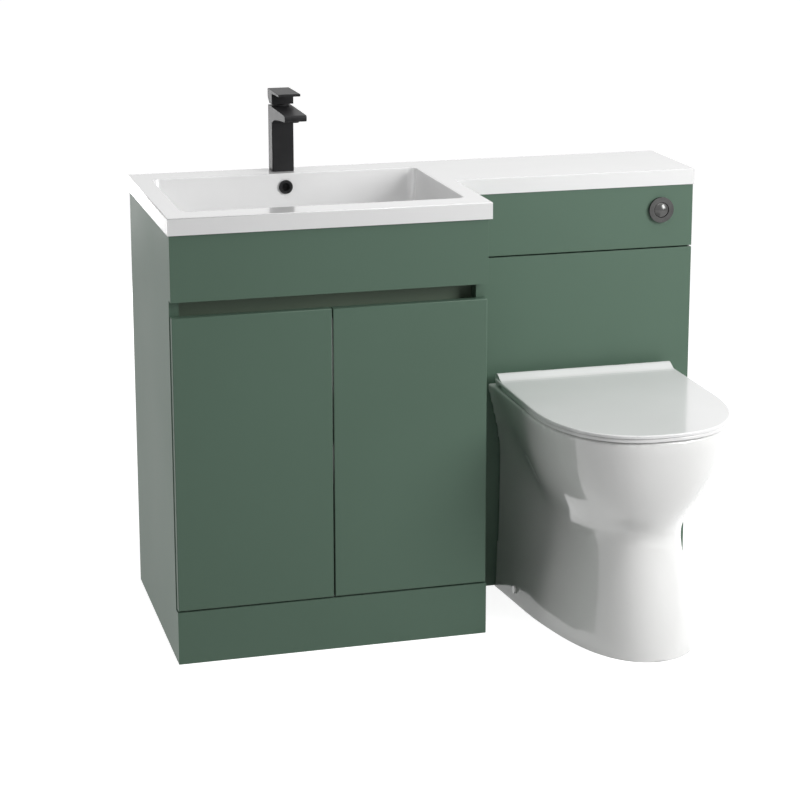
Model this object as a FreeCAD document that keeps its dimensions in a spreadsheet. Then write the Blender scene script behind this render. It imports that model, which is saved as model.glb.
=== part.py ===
import FreeCAD, Part
import Sketcher
import math
import os

doc = FreeCAD.newDocument("combination_vanity")
V = FreeCAD.Vector

# driving dimensions, in millimetres and degrees
DIMS = {
    # edges of the worktop over the boards
    "slab_overhang": 3,
    "slab_end": 2,
    "slab_front": 4,
    # cupboard boards
    "wc_width": 510,
    "wc_depth": 232,
    "board": 18,
    "door_board": 18,
    "door_gap": 2,
    "reveal": 1.5,
    "cabinet_height": 818,
    "plinth_height": 102,
    "door_top": 665,
    "fascia_bottom": 694,
    "door_round": 1.5,
    "panel_split": 690,
    "rail_height": 100,
    "shelf_height": 380,
    "shelf_setback": 60,
    "shelf_clear": 1,
    "peg_radius": 2.5,
    "peg_length": 16,
    "peg_fit": 0.05,
    "peg_inset": 45,
    "channel_depth": 32,
    "channel_wall": 2,
    "channel_lip": 22,
    "tap_notch_clear": 6,
    "pipe_room": 4,
    "collar_room": 1,
    # wall fixing holes
    "wall_hole_radius": 4,
    "wall_hole_pitch": 440,
    "wall_hole_height": 770,
    # concealed hinges
    "cup_radius": 17.4,
    "cup_depth": 11,
    "cup_wall": 1.6,
    "cup_fit": 0.2,
    "cup_edge": 5,
    "cup_flange": 1.2,
    "cup_flange_radius": 22,
    "hinge_low": 200,
    "hinge_high": 575,
    "arm_width": 10,
    "arm_height": 13,
    "arm_length": 72,
    "arm_nose": 4,
    "plate_thickness": 2.5,
    "plate_length": 44,
    "plate_height": 46,
    "plate_setback": 6,
    # one-piece basin and worktop
    "slab_thickness": 32,
    "basin_return": 6.6,
    "wc_top_overhang": 2,
    "bowl_length": 536,
    "bowl_width": 352,
    "bowl_back": 70,
    "bowl_side_room": 4,
    "bowl_front_room": 22,
    "bowl_deep": 108,
    "bowl_wall": 12,
    "bowl_taper": 4,
    "bowl_corner": 16,
    "bowl_floor_round": 12,
    "slab_round": 2,
    "drain_radius": 23,
    "overflow_height": 823,
    "overflow_radius": 11,
    "overflow_ring_radius": 14,
    "overflow_ring_depth": 3,
    "overflow_ring_bore": 8.5,
    "overflow_ring_tail": 16,
    "overflow_fit": 0.3,
    "overflow_drill": 30,
    "overflow_drill_start": 12,
    "face_fit": 0.1,
    "thread_fit": 0.3,
    "drill_over": 5,
    # basin waste
    "waste_flange_radius": 33,
    "waste_flange_depth": 3,
    "waste_tube_radius": 21.5,
    "waste_tube_wall": 2,
    "waste_tube_drop": 60,
    "waste_nut_radius": 30,
    "waste_nut_depth": 11,
    "plug_radius": 31,
    "plug_thickness": 5,
    "plug_stem_radius": 4,
    "plug_stem_length": 38,
    "plug_clear": 0.05,
    "spider_width": 6,
    "spider_thick": 4,
    "spider_drop": 11,
    "spider_boss_radius": 8,
    "spider_boss_length": 14,
    "spider_boss_drop": 21,
    "trap_radius": 32,
    "trap_length": 95,
    "trap_nut_radius": 27,
    "trap_nut_length": 22,
    "trap_outlet_radius": 16,
    "trap_outlet_bore": 13,
    "trap_spigot": 60,
    "trap_relief": 1,
    "trap_outlet_drop": 22,
    "trap_wall_gap": 8,
    "trap_collar_overlap": 14,
    "trap_wall": 2.5,
    # basin mixer
    "tap_centre": 303,
    "tap_from_wall": 29,
    "tap_wide": 44,
    "tap_deep": 39,
    "tap_height": 130,
    "tap_round": 2.5,
    "spout_reach": 139,
    "spout_root": 29,
    "spout_tip": 12,
    "spout_drop": 2,
    "spout_mid_share": 0.45,
    "spout_mid_drop": 4,
    "spout_neck_share": 0.8,
    "spout_neck_rise": 6,
    "spout_root_drop": 2,
    "spout_tip_round": 5.5,
    "spout_nozzle_radius": 10.5,
    "spout_nozzle_length": 3,
    "spout_nozzle_wall": 2,
    "spout_nozzle_setback": 8,
    "spout_nozzle_root": 8,
    "spout_bore_depth": 4,
    "tap_hole_radius": 17.5,
    "tap_shank_radius": 15,
    "tap_shank_length": 75,
    "tap_nut_radius": 26,
    "tap_nut_depth": 9,
    "tap_gasket": 1,
    "gasket_inset": 1,
    "shank_fit": 0.4,
    "neck_radius": 17,
    "neck_height": 5,
    "neck_seat": 0.3,
    "neck_gap": 1.8,
    "stem_radius": 14,
    "stem_depth": 16,
    "stem_room": 4,
    "lever_block": 22,
    "lever_plate": 6,
    "lever_reach": 104,
    "lever_pivot_up": 12,
    "lever_pin_radius": 3,
    "lever_fit": 0.05,
    "lever_pin_inset": 4,
    "lever_pin_play": 0.2,
    "lever_heel_run": 15,
    "lever_heel_rise": 11,
    "lever_tip_rise": 1,
    "lever_edge_round": 1,
    "lever_room_wall": 3,
    "lever_side_clear": 0.5,
    "lever_head_clear": 2,
    "stem_width": 14,
    # push button on the upper panel
    "button_from_right": 69,
    "button_height": 768.5,
    "collar_radius": 26,
    "collar_depth": 6,
    "collar_tube_radius": 20,
    "button_radius": 15.5,
    "button_dome": 6,
    "button_length": 18,
    "button_clear": 0.3,
    "button_seat": 1,
    "collar_tail": 6,
    "button_nut_radius": 27,
    "button_nut_depth": 8,
    # cistern behind the panels
    "tank_side_room": 30,
    "tank_width": 150,
    "tank_height": 300,
    "tank_base": 470,
    "tank_wall": 4,
    "tank_lid": 14,
    "tank_lid_side": 3,
    "tank_lid_front": 4,
    "tank_lid_wall": 6,
    "tank_lid_top": 3,
    "tank_gap": 0.5,
    "tank_rail_height": 560,
    "flush_radius": 22,
    "flush_bore": 20,
    "flush_bend": 45,
    "flush_inlet_height": 320,
    "flush_fit": 0.4,
    "flush_hole_room": 1,
    "flush_entry": 24,
    "valve_radius": 32,
    "valve_height": 190,
    "valve_tail": 40,
    "valve_nut_radius": 34,
    "valve_nut_depth": 14,
    "fill_from_side": 60,
    "fill_radius": 15,
    "fill_height": 230,
    "fill_tail_radius": 10.48,
    "fill_tail_length": 34,
    "fill_tail_step": 1,
    "fill_relief": 0.5,
    "fill_relief_length": 6,
    "fill_bore": 7,
    "fill_bore_past": 15,
    "fill_fit": 0.4,
    "float_radius": 34,
    "float_height": 60,
    "float_clear": 0.3,
    "float_rest": 110,
    # toilet pan
    "pan_offset": 17,
    "pan_rim": 432,
    "pan_clear": 0.3,
    "outlet_radius": 51,
    "outlet_bore": 43,
    "outlet_height": 185,
    "outlet_length": 74,
    "outlet_relief": 2,
    "outlet_step": 1,
    "inlet_reach": 29,
    "pan_wall": 13,
    "deck_thickness": 18,
    "bracket_leg": 40,
    "bracket_sheet": 4,
    "bracket_at": 145,
    "bracket_from_panel": 100,
    "bracket_screw": 26,
    "screw_radius": 3.5,
    "cap_radius": 8,
    "cap_seat": 20,
    "cap_fit": 0.3,
    "screw_fit": 0.4,
    "bracket_fit": 0.1,
    "cap_depth": 4,
    # seat and lid
    "lid_half": 188,
    "lid_straight": 238,
    "lid_front": 486.5,
    "lid_bow": 2.4,
    "lid_thickness": 6,
    "ridge_crown": 6,
    "ridge_crown_drop": 1.2,
    "ridge_slope_share": 0.65,
    "ridge_slope_rise": 2.6,
    "ridge_toe_share": 0.85,
    "ridge_toe_rise": 0.7,
    "ridge_tail": 5,
    "ridge_tail_drop": 0.05,
    "post_notch": 1.5,
    "post_notch_deep": 40,
    "pin_in_lid": 21,
    "lug_root": 20,
    "lug_foot": 11.5,
    "lug_top_run": 6,
    "lug_top_rise": 1,
    "lug_heel_drop": 4,
    "lug_heel_run": 5,
    "neck_deep": 12,
    "foot_deep": 34,
    "foot_thick": 2,
    "bolt_radius": 4,
    "bolt_length": 44,
    "bolt_drop": 38,
    "bolt_fit": 0.3,
    "bolt_thread_fit": 0.2,
    "pin_setback": 1,
    "lid_round": 2.5,
    "seat_gap": 2.5,
    "seat_thickness": 6.5,
    "lid_gap": 1,
    "seat_inset": 1,
    "seat_back": 66,
    "seat_hole_half": 112,
    "seat_hole_back": 118,
    "seat_hole_front": 428,
    "hinge_from_panel": 30,
    "hinge_up": 14,
    "ridge_radius": 12.5,
    "ridge_half": 184.5,
    "ridge_run": 30,
    "ridge_hollow": 10,
    "lug_radius": 8.5,
    "lug_width": 14,
    "post_at": 77,
    "post_width": 22,
    "post_radius": 8,
    "pin_radius": 4,
    "pin_length": 58,
    "pin_fit": 0.05,
    "side_clear": 2,
    "seat_nut_radius": 13,
    "seat_nut_depth": 9,
    "buffer_radius": 8,
    "buffer_fit": 0.05,
    "lid_buffer_radius": 6,
    "buffer_rear_share": 0.78,
    "buffer_rear": 110,
    "buffer_front_share": 0.72,
    "buffer_front": 330,
    "lid_buffer_ahead": 300,
}

# level sections of the pan: height, half width at the panel and at the side, straight run, front, fullness
SECTION_SIZES = ("height", "rear", "side", "straight", "front", "bow")
SECTIONS = {
    "foot_floor": (0, 178, 168, 130, 450, 2.1),
    "foot_low": (95, 173, 146, 160, 430, 2.1),
    "foot_middle": (178, 171, 131, 185, 412, 2.1),
    "foot_waist": (241, 170, 125, 195, 398, 2.1),
    "foot_rise": (304, 171.5, 128, 195, 392, 2.1),
    "foot_spread": (357, 180, 138, 180, 390, 2.1),
    "foot_deck": (432, 196, 160, 150, 388, 2.1),
    "belly_keel": (200, 60, 104, 205, 375, 2.1),
    "belly_crease": (225, 88, 126, 207, 403, 2.1),
    "belly_low": (255, 112, 145, 214, 428, 2.15),
    "belly_middle": (290, 130, 161, 222, 449, 2.2),
    "belly_full": (330, 152, 174, 230, 466, 2.3),
    "belly_high": (380, 176, 184, 236, 479, 2.35),
    "belly_rim": (432, 192, 187, 238, 483.5, 2.4),
}
# level sections of the bowl inside it: height, half width, widest point, front and back
HOLLOW_SIZES = ("height", "half", "centre", "front", "back")
HOLLOWS = {
    "bowl_rim": (433, 150, 208, 446, 98),
    "bowl_upper": (342, 128, 206, 414, 106),
    "bowl_lower": (242, 84, 203, 340, 128),
    "bowl_sump": (150, 52, 205, 262, 153),
}
for table, sizes in ((SECTIONS, SECTION_SIZES), (HOLLOWS, HOLLOW_SIZES)):
    for name, row in table.items():
        for size, value in zip(sizes, row):
            DIMS[name + "_" + size] = value

dims = doc.addObject("Spreadsheet::Sheet", "dims")
for row, (name, value) in enumerate(DIMS.items(), 1):
    dims.set("A%d" % row, name)
    dims.set("B%d" % row, str(value))
    dims.setAlias("B%d" % row, name)
doc.recompute()

# positions that follow from the driving dimensions
LAYOUT = {
    "wall": "(dims.wc_depth + dims.lid_front) / 2",
    "vanity_width": "2 * dims.board + dims.bowl_side_room + dims.bowl_length + 2 * dims.bowl_wall",
    "bowl_reach": "dims.bowl_back + dims.bowl_width + dims.bowl_wall",
    "vanity_depth": "lay.bowl_reach + dims.bowl_front_room + dims.door_gap + dims.door_board",
    "basin_depth": "lay.vanity_depth + dims.slab_front",
    "slab_length": "dims.slab_overhang + lay.vanity_width + dims.wc_width + dims.slab_end",
    "left": "dims.slab_overhang - lay.slab_length / 2",
    "joint": "lay.left + lay.vanity_width",
    "right": "lay.joint + dims.wc_width",
    "door_face": "lay.wall - lay.vanity_depth",
    "carcass": "lay.door_face + dims.door_board + dims.door_gap",
    "wc_face": "lay.wall - dims.wc_depth",
    "wc_back": "lay.wc_face + dims.board",
    "top": "dims.cabinet_height + dims.slab_thickness",
    "pan": "lay.joint + dims.wc_width / 2 + dims.pan_offset",
    "bowl_centre": "dims.board + dims.bowl_side_room + dims.bowl_wall + dims.bowl_length / 2",
    "bowl_x": "lay.left + lay.bowl_centre",
    "bowl_y": "lay.wall - dims.bowl_back - dims.bowl_width / 2",
    "bowl_floor": "lay.top - dims.bowl_deep",
    "tap_x": "lay.left + dims.tap_centre",
    "tap_y": "lay.wall - dims.tap_from_wall",
    "tap_top": "lay.top + dims.tap_gasket + dims.tap_height",
    "button_x": "lay.right - dims.button_from_right",
    "tank_length": "dims.wc_width - 2 * (dims.board + dims.pan_offset + dims.tank_side_room)",
    "tank_back": "lay.wall - dims.board - dims.tank_gap",
    "tank_y": "lay.tank_back - dims.tank_width / 2",
    "axis_y": "lay.wc_face - dims.hinge_from_panel",
    "axis_z": "dims.pan_rim + dims.hinge_up",
    "seat_z": "dims.pan_rim + dims.seat_gap",
    "lid_z": "lay.seat_z + dims.seat_thickness + dims.lid_gap",
    "trap_top": "lay.bowl_floor - dims.bowl_wall - dims.waste_tube_drop",
    "trap_outlet": "lay.trap_top - dims.trap_nut_length - dims.trap_outlet_drop",
}

lay = doc.addObject("App::VarSet", "lay")
for name in LAYOUT:
    lay.addProperty("App::PropertyFloat", name)
for name, formula in LAYOUT.items():
    lay.setExpression(name, formula)
doc.recompute()


def d(name):
    """The value of a driving dimension or of a position in the layout."""
    if name in LAYOUT:
        return float(getattr(lay, name))
    return float(getattr(dims, name))


nodes = []
NEAR = 0.01


def keep(obj, label):
    obj.Label = label
    nodes.append(obj)
    return obj


def bind(obj, **formulas):
    for prop, formula in formulas.items():
        obj.setExpression(prop.replace("__", "."), formula)
    return obj


def place(obj, x, y, z):
    return bind(obj, Placement__Base__x=x, Placement__Base__y=y, Placement__Base__z=z)


def box(size, at, name="block"):
    """A box bound to the sheet: its three sizes and the place of its low corner."""
    obj = doc.addObject("Part::Box", name)
    bind(obj, Length=size[0], Width=size[1], Height=size[2])
    return place(obj, *at)


TURN = {
    "z": FreeCAD.Rotation(),
    "x": FreeCAD.Rotation(V(0, 1, 0), 90),
    "y": FreeCAD.Rotation(V(1, 0, 0), -90),
    "-y": FreeCAD.Rotation(V(1, 0, 0), 90),
}


def rod(radius, length, at, along="z", name="rod"):
    """A cylinder bound to the sheet, from the point at, along +x, +y, -y or +z."""
    obj = doc.addObject("Part::Cylinder", name)
    obj.Placement = FreeCAD.Placement(V(), TURN[along])
    bind(obj, Radius=radius, Height=length)
    return place(obj, *at)


def joined(parts, name="joined"):
    obj = doc.addObject("Part::MultiFuse", name)
    obj.Shapes = parts
    return obj


def group(parts, name="group"):
    obj = doc.addObject("Part::Compound", name)
    obj.Links = parts
    return obj


def cut(base, tools, name="cut"):
    obj = doc.addObject("Part::Cut", name)
    obj.Base = base
    obj.Tool = tools[0] if len(tools) == 1 else joined(tools, name + "_tools")
    return obj


def plane(body, role):
    return [f for f in body.Origin.OriginFeatures if f.Role == role][0]


def profile(body, role, points, name="profile"):
    """A closed polygon sketch on a plane of the body, with every corner bound to the sheet."""
    sketch = body.newObject("Sketcher::SketchObject", name)
    sketch.AttachmentSupport = [(plane(body, role), "")]
    sketch.MapMode = "FlatFace"
    spots = [V(*[evaluate(c) for c in p], 0) for p in points]
    n = len(spots)
    for i in range(n):
        sketch.addGeometry(Part.LineSegment(spots[i], spots[(i + 1) % n]), False)
    for i in range(n):
        sketch.addConstraint(Sketcher.Constraint("Coincident", i, 2, (i + 1) % n, 1))
    for i, (ex, ey) in enumerate(points):
        for kind, formula, value in (("X", ex, spots[i].x), ("Y", ey, spots[i].y)):
            k = sketch.addConstraint(Sketcher.Constraint("Distance" + kind, -1, 1, i, 1, value))
            sketch.setExpression("Constraints[%d]" % k, formula)
    return sketch


def evaluate(formula):
    return float(getattr(lay.evalExpression(formula), "Value", lay.evalExpression(formula)))


def pad(body, sketch, length, back=False, name="pad"):
    obj = body.newObject("PartDesign::Pad", name)
    obj.Profile = sketch
    obj.Reversed = back
    bind(obj, Length=length)
    sketch.Visibility = False
    doc.recompute()
    return obj


def pocket(body, sketch, length, back=False, name="pocket", taper=None):
    obj = body.newObject("PartDesign::Pocket", name)
    obj.Profile = sketch
    obj.Reversed = back
    bind(obj, Length=length)
    if taper:
        bind(obj, TaperAngle=taper)
    sketch.Visibility = False
    doc.recompute()
    return obj


def fillet(body, base, test, radius, name="round"):
    """Rounds the edges of a feature whose middle point passes the test."""
    edges = []
    for i, e in enumerate(base.Shape.Edges, 1):
        middle = e.valueAt((e.FirstParameter + e.LastParameter) / 2)
        if test(middle, e):
            edges.append("Edge%d" % i)
    obj = body.newObject("PartDesign::Fillet", name)
    obj.Base = (base, edges)
    bind(obj, Radius=radius)
    doc.recompute()
    return obj


# cupboard of the vanity unit: two sides, floor, shelf on pegs, rails, plinth, fascia and grip channel
SIDE_DEEP = "lay.wall - lay.carcass"
INNER = "lay.vanity_width - 2 * dims.board"
INNER_LEFT = "lay.left + dims.board"
SHELF_FRONT = "lay.carcass + dims.shelf_setback"
SHELF_DEEP = "lay.wall - dims.shelf_setback - (%s)" % SHELF_FRONT
PEG_Z = "dims.shelf_height - dims.peg_radius - dims.peg_fit"
PEG_YS = [SHELF_FRONT + " + dims.peg_inset", "lay.wall - dims.shelf_setback - dims.peg_inset"]

for side, x, face in (
    ("left", "lay.left", "lay.left + dims.board"),
    ("right", "lay.joint - dims.board", "lay.joint - dims.board"),
):
    panel = box(("dims.board", SIDE_DEEP, "dims.cabinet_height"), (x, "lay.carcass", "0"), side + "_board")
    holes = []
    for y in PEG_YS:
        start = face + (" - dims.peg_length / 2" if side == "left" else "")
        holes.append(
            rod("dims.peg_radius + dims.peg_fit", "dims.peg_length / 2", (start, y, PEG_Z), "x", "peg_hole")
        )
    keep(cut(panel, holes, side + "_side"), "vanity_%s_side" % side)

keep(
    box(
        (INNER, SIDE_DEEP, "dims.board"),
        (INNER_LEFT, "lay.carcass", "dims.plinth_height - dims.board"),
    ),
    "vanity_base",
)
keep(
    box(
        (INNER + " - 2 * dims.shelf_clear", SHELF_DEEP, "dims.board"),
        (INNER_LEFT + " + dims.shelf_clear", SHELF_FRONT, "dims.shelf_height"),
    ),
    "vanity_shelf",
)
pegs = []
for x in ("lay.left + dims.board - dims.peg_length / 2", "lay.joint - dims.board - dims.peg_length / 2"):
    for y in PEG_YS:
        pegs.append(rod("dims.peg_radius", "dims.peg_length", (x, y, PEG_Z), "x", "peg"))
keep(group(pegs), "shelf_pegs")

RAIL_Y = "lay.wall - dims.board"
rail = box(
    (INNER, "dims.board", "dims.rail_height"),
    (INNER_LEFT, RAIL_Y, "dims.cabinet_height - dims.rail_height"),
)
wall_holes = []
for sign in ("-", "+"):
    x = "lay.left + lay.vanity_width / 2 %s dims.wall_hole_pitch / 2" % sign
    wall_holes.append(rod("dims.wall_hole_radius", "dims.board", (x, RAIL_Y, "dims.wall_hole_height"), "y"))
tap_notch = box(
    ("2 * (dims.tap_nut_radius + dims.tap_notch_clear)", "dims.board", "dims.tap_shank_length"),
    (
        "lay.tap_x - dims.tap_nut_radius - dims.tap_notch_clear",
        RAIL_Y,
        "lay.top - dims.tap_shank_length - dims.tap_notch_clear",
    ),
)
keep(cut(rail, wall_holes + [tap_notch]), "vanity_wall_rail")
keep(
    box((INNER, "dims.board", "dims.rail_height"), (INNER_LEFT, RAIL_Y, "dims.plinth_height")),
    "vanity_low_rail",
)
FRONT_THICK = "lay.carcass - lay.door_face"
keep(
    box(("lay.vanity_width", FRONT_THICK, "dims.plinth_height"), ("lay.left", "lay.door_face", "0")),
    "vanity_plinth",
)
keep(
    box(
        ("lay.vanity_width", FRONT_THICK, "dims.cabinet_height - dims.fascia_bottom"),
        ("lay.left", "lay.door_face", "dims.fascia_bottom"),
    ),
    "vanity_fascia",
)

channel = doc.addObject("PartDesign::Body", "channel")
place(channel, INNER_LEFT, "lay.carcass", "dims.door_top - dims.channel_lip")
CH_H = "dims.fascia_bottom + dims.channel_lip - dims.door_top + dims.channel_lip"
CH_W = "dims.channel_wall"
channel_sketch = profile(
    channel,
    "YZ_Plane",
    [
        ("0", "0"),
        ("dims.channel_depth", "0"),
        ("dims.channel_depth", CH_H),
        ("0", CH_H),
        ("0", CH_H + " - " + CH_W),
        ("dims.channel_depth - " + CH_W, CH_H + " - " + CH_W),
        ("dims.channel_depth - " + CH_W, CH_W),
        ("0", CH_W),
    ],
)
pad(channel, channel_sketch, INNER)
keep(channel, "handle_channel")

# doors with a rounded edge all round, bored for the hinge cups, and their concealed hinges
DOOR_LOW = "dims.plinth_height + 2 * dims.reveal"
DOOR_HIGH = "dims.door_top - (%s)" % DOOR_LOW
DOOR_WIDE = "lay.vanity_width / 2 - 2 * dims.reveal"
CUP_IN = "dims.cup_edge + dims.cup_radius + dims.cup_fit"
BACK = "lay.door_face + dims.door_board"
HEIGHTS = ("dims.hinge_low", "dims.hinge_high")
PLATE_Y = "lay.carcass + dims.arm_length - dims.plate_length - dims.plate_setback"

for side in ("left", "right"):
    low_x = "lay.left + dims.reveal" if side == "left" else "lay.left + lay.vanity_width / 2 + dims.reveal"
    cup_x = (
        "lay.left + dims.reveal + " + CUP_IN
        if side == "left"
        else "lay.joint - dims.reveal - (%s)" % CUP_IN
    )
    leaf = doc.addObject("PartDesign::Body", side + "_leaf")
    place(leaf, low_x, "lay.door_face", DOOR_LOW)
    outline = profile(leaf, "XY_Plane", [
        ("0", "0"),
        (DOOR_WIDE, "0"),
        (DOOR_WIDE, "dims.door_board"),
        ("0", "dims.door_board"),
    ])
    slab = pad(leaf, outline, DOOR_HIGH)
    fillet(leaf, slab, lambda p, e: p.y < NEAR, "dims.door_round")
    bores = [
        rod("dims.cup_radius + dims.cup_fit", "dims.cup_depth + dims.cup_fit", (cup_x, BACK, z), "-y")
        for z in HEIGHTS
    ]
    keep(cut(leaf, bores, side + "_door_cut"), side + "_door")
    cups = []
    for z in HEIGHTS:
        shell = joined([
            rod("dims.cup_radius", "dims.cup_depth", (cup_x, BACK, z), "-y"),
            rod("dims.cup_flange_radius", "dims.cup_flange", (cup_x, BACK, z), "y"),
        ])
        hollow = rod(
            "dims.cup_radius - dims.cup_wall",
            "dims.cup_depth + dims.cup_flange - dims.cup_wall",
            (cup_x, BACK + " + dims.cup_flange", z),
            "-y",
        )
        cups.append(cut(shell, [hollow]))
    keep(group(cups), side + "_hinge_cups")
    arms = []
    for z in HEIGHTS:
        if side == "left":
            plate_x = "lay.left + dims.board"
            arm_x = plate_x + " + dims.plate_thickness"
        else:
            plate_x = "lay.joint - dims.board - dims.plate_thickness"
            arm_x = plate_x + " - dims.arm_width"
        arms.append(joined([
            box(
                ("dims.plate_thickness", "dims.plate_length", "dims.plate_height"),
                (plate_x, PLATE_Y, z + " - dims.plate_height / 2"),
            ),
            box(
                ("dims.arm_width", "dims.arm_length", "dims.arm_height"),
                (arm_x, BACK + " - dims.arm_nose", z + " - dims.arm_height / 2"),
            ),
        ]))
    keep(group(arms), side + "_hinge_arms")

# toilet unit: sides, rails and two front panels pierced for the pan's pipes and the push button
WC_INNER = "dims.wc_width - 2 * dims.board"
for side, x in (("left", "lay.joint"), ("right", "lay.right - dims.board")):
    keep(
        box(("dims.board", "lay.wall - lay.wc_back", "dims.cabinet_height"), (x, "lay.wc_back", "0")),
        "wc_%s_side" % side,
    )
for label, z, high in (
    ("wc_top_rail", "dims.cabinet_height - dims.rail_height", "dims.rail_height"),
    ("wc_tank_rail", "dims.tank_rail_height", "dims.rail_height"),
):
    keep(
        box((WC_INNER, "dims.board", high), ("lay.joint + dims.board", "lay.wall - dims.board", z)),
        label,
    )
lower = box(
    ("dims.wc_width", "dims.board", "dims.panel_split - dims.reveal"),
    ("lay.joint", "lay.wc_face", "0"),
)
pipes = [
    rod(radius + " + dims.pipe_room", "dims.board", ("lay.pan", "lay.wc_face", height), "y")
    for radius, height in (
        ("dims.outlet_radius", "dims.outlet_height"),
        ("dims.flush_radius", "dims.flush_inlet_height"),
    )
]
keep(cut(lower, pipes), "wc_lower_panel")
upper = box(
    ("dims.wc_width", "dims.board", "dims.cabinet_height - dims.panel_split - dims.reveal"),
    ("lay.joint", "lay.wc_face", "dims.panel_split + dims.reveal"),
)
BUTTON = ("lay.button_x", "lay.wc_face", "dims.button_height")
button_hole = rod("dims.collar_tube_radius + dims.collar_room", "dims.board", BUTTON, "y")
keep(cut(upper, [button_hole]), "wc_upper_panel")

# basin and worktop, cast in one piece with a boxed bowl that hangs in the cupboard
casting = doc.addObject("PartDesign::Body", "casting")
place(casting, "-lay.slab_length / 2", "lay.wall - lay.basin_depth", "dims.cabinet_height")
RETURN_X = "dims.slab_overhang + lay.vanity_width + dims.basin_return"
STEP_Y = "lay.basin_depth - dims.wc_depth - dims.wc_top_overhang"
slab_sketch = profile(casting, "XY_Plane", [
    ("0", "0"),
    (RETURN_X, "0"),
    (RETURN_X, STEP_Y),
    ("lay.slab_length", STEP_Y),
    ("lay.slab_length", "lay.basin_depth"),
    ("0", "lay.basin_depth"),
])
slab = pad(casting, slab_sketch, "dims.slab_thickness")
BX = "dims.slab_overhang + lay.bowl_centre"
BY = "lay.basin_depth - dims.bowl_back - dims.bowl_width / 2"


def rectangle(body, grow, name):
    half_x = "(dims.bowl_length / 2 + %s)" % grow
    half_y = "(dims.bowl_width / 2 + %s)" % grow
    return profile(body, "XY_Plane", [
        ("%s - %s" % (BX, half_x), "%s - %s" % (BY, half_y)),
        ("%s + %s" % (BX, half_x), "%s - %s" % (BY, half_y)),
        ("%s + %s" % (BX, half_x), "%s + %s" % (BY, half_y)),
        ("%s - %s" % (BX, half_x), "%s + %s" % (BY, half_y)),
    ], name)


HANG = "dims.bowl_deep + dims.bowl_wall - dims.slab_thickness"
tub = pad(casting, rectangle(casting, "dims.bowl_wall", "tub_outline"), HANG, True, "tub")
bowl_sketch = rectangle(casting, "0", "bowl_outline")
bowl_sketch.setExpression("AttachmentOffset.Base.z", "dims.slab_thickness")
doc.recompute()
bowl = pocket(casting, bowl_sketch, "dims.bowl_deep", taper="-dims.bowl_taper")
floor_z = d("slab_thickness") - d("bowl_deep")
bowl_rear = d("basin_depth") - d("bowl_back")
bowl_front = bowl_rear - d("bowl_width")


def is_level(p, e, z):
    return abs(p.z - z) < NEAR and e.BoundBox.ZLength < NEAR


def is_bowl_corner(p, e):
    upright = e.BoundBox.ZLength > d("bowl_deep") - NEAR
    return upright and bowl_front - NEAR < p.y < bowl_rear + NEAR and p.z > floor_z


corner = fillet(casting, bowl, is_bowl_corner, "dims.bowl_corner", "bowl_corner")
floor_edge = fillet(casting, corner, lambda p, e: is_level(p, e, floor_z), "dims.bowl_floor_round")
slab_top = d("slab_thickness")
fillet(casting, floor_edge, lambda p, e: is_level(p, e, slab_top), "dims.slab_round")
DRAIN = ("lay.bowl_x", "lay.bowl_y")
TAP = ("lay.tap_x", "lay.tap_y")
FLOOR = "lay.bowl_floor"
BOWL_UNDER = FLOOR + " - dims.bowl_wall"
PAST = " + 2 * dims.drill_over"
basin_holes = [
    rod("dims.drain_radius", "dims.bowl_wall" + PAST, DRAIN + (BOWL_UNDER + " - dims.drill_over",)),
    rod(
        "dims.tap_hole_radius",
        "dims.slab_thickness" + PAST,
        TAP + ("dims.cabinet_height - dims.drill_over",),
    ),
    rod(
        "dims.overflow_radius",
        "dims.overflow_drill",
        ("lay.bowl_x", "lay.wall - dims.bowl_back - dims.overflow_drill_start", "dims.overflow_height"),
        "y",
    ),
]
keep(cut(casting, basin_holes, "basin_cut"), "basin")
LEAN = "(lay.top - dims.overflow_height + dims.overflow_ring_radius) * tan(dims.bowl_taper * 1 deg)"
RING_Y = "lay.wall - dims.bowl_back - %s - dims.overflow_ring_depth - dims.face_fit" % LEAN
RING_AT = ("lay.bowl_x", RING_Y, "dims.overflow_height")
ring = rod("dims.overflow_ring_radius", "dims.overflow_ring_depth", RING_AT, "y")
ring_tube = rod("dims.overflow_radius - dims.overflow_fit", "dims.overflow_ring_tail", RING_AT, "y")
ring_bore = rod("dims.overflow_ring_bore", "dims.overflow_ring_tail", RING_AT, "y")
keep(cut(joined([ring, ring_tube]), [ring_bore]), "overflow_ring")

# basin waste: flange and tube, lock nut, sprung plug and bottle trap
WASTE_LOW = BOWL_UNDER + " - dims.waste_tube_drop"
waste = joined([
    rod("dims.waste_flange_radius", "dims.waste_flange_depth", DRAIN + (FLOOR,)),
    rod("dims.waste_tube_radius", "dims.bowl_wall + dims.waste_tube_drop", DRAIN + (WASTE_LOW,)),
])
waste_bore = rod(
    "dims.waste_tube_radius - dims.waste_tube_wall",
    "dims.bowl_wall + dims.waste_tube_drop + dims.waste_flange_depth" + PAST,
    DRAIN + (WASTE_LOW + " - dims.drill_over",),
)
SPIDER_HALF = "(dims.waste_tube_radius - dims.waste_tube_wall / 2)"
spider = box(
    ("2 * " + SPIDER_HALF, "dims.spider_width", "dims.spider_thick"),
    ("lay.bowl_x - " + SPIDER_HALF, "lay.bowl_y - dims.spider_width / 2", FLOOR + " - dims.spider_drop"),
)
BOSS_LOW = FLOOR + " - dims.spider_boss_drop"
spider_boss = rod("dims.spider_boss_radius", "dims.spider_boss_length", DRAIN + (BOSS_LOW,))
spider_bore = rod("dims.plug_stem_radius + dims.plug_clear", "dims.spider_boss_length", DRAIN + (BOSS_LOW,))
tube = cut(waste, [waste_bore])
keep(cut(joined([tube, spider, spider_boss]), [spider_bore]), "waste_body")
NUT_AT = DRAIN + (BOWL_UNDER + " - dims.waste_nut_depth",)
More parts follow.
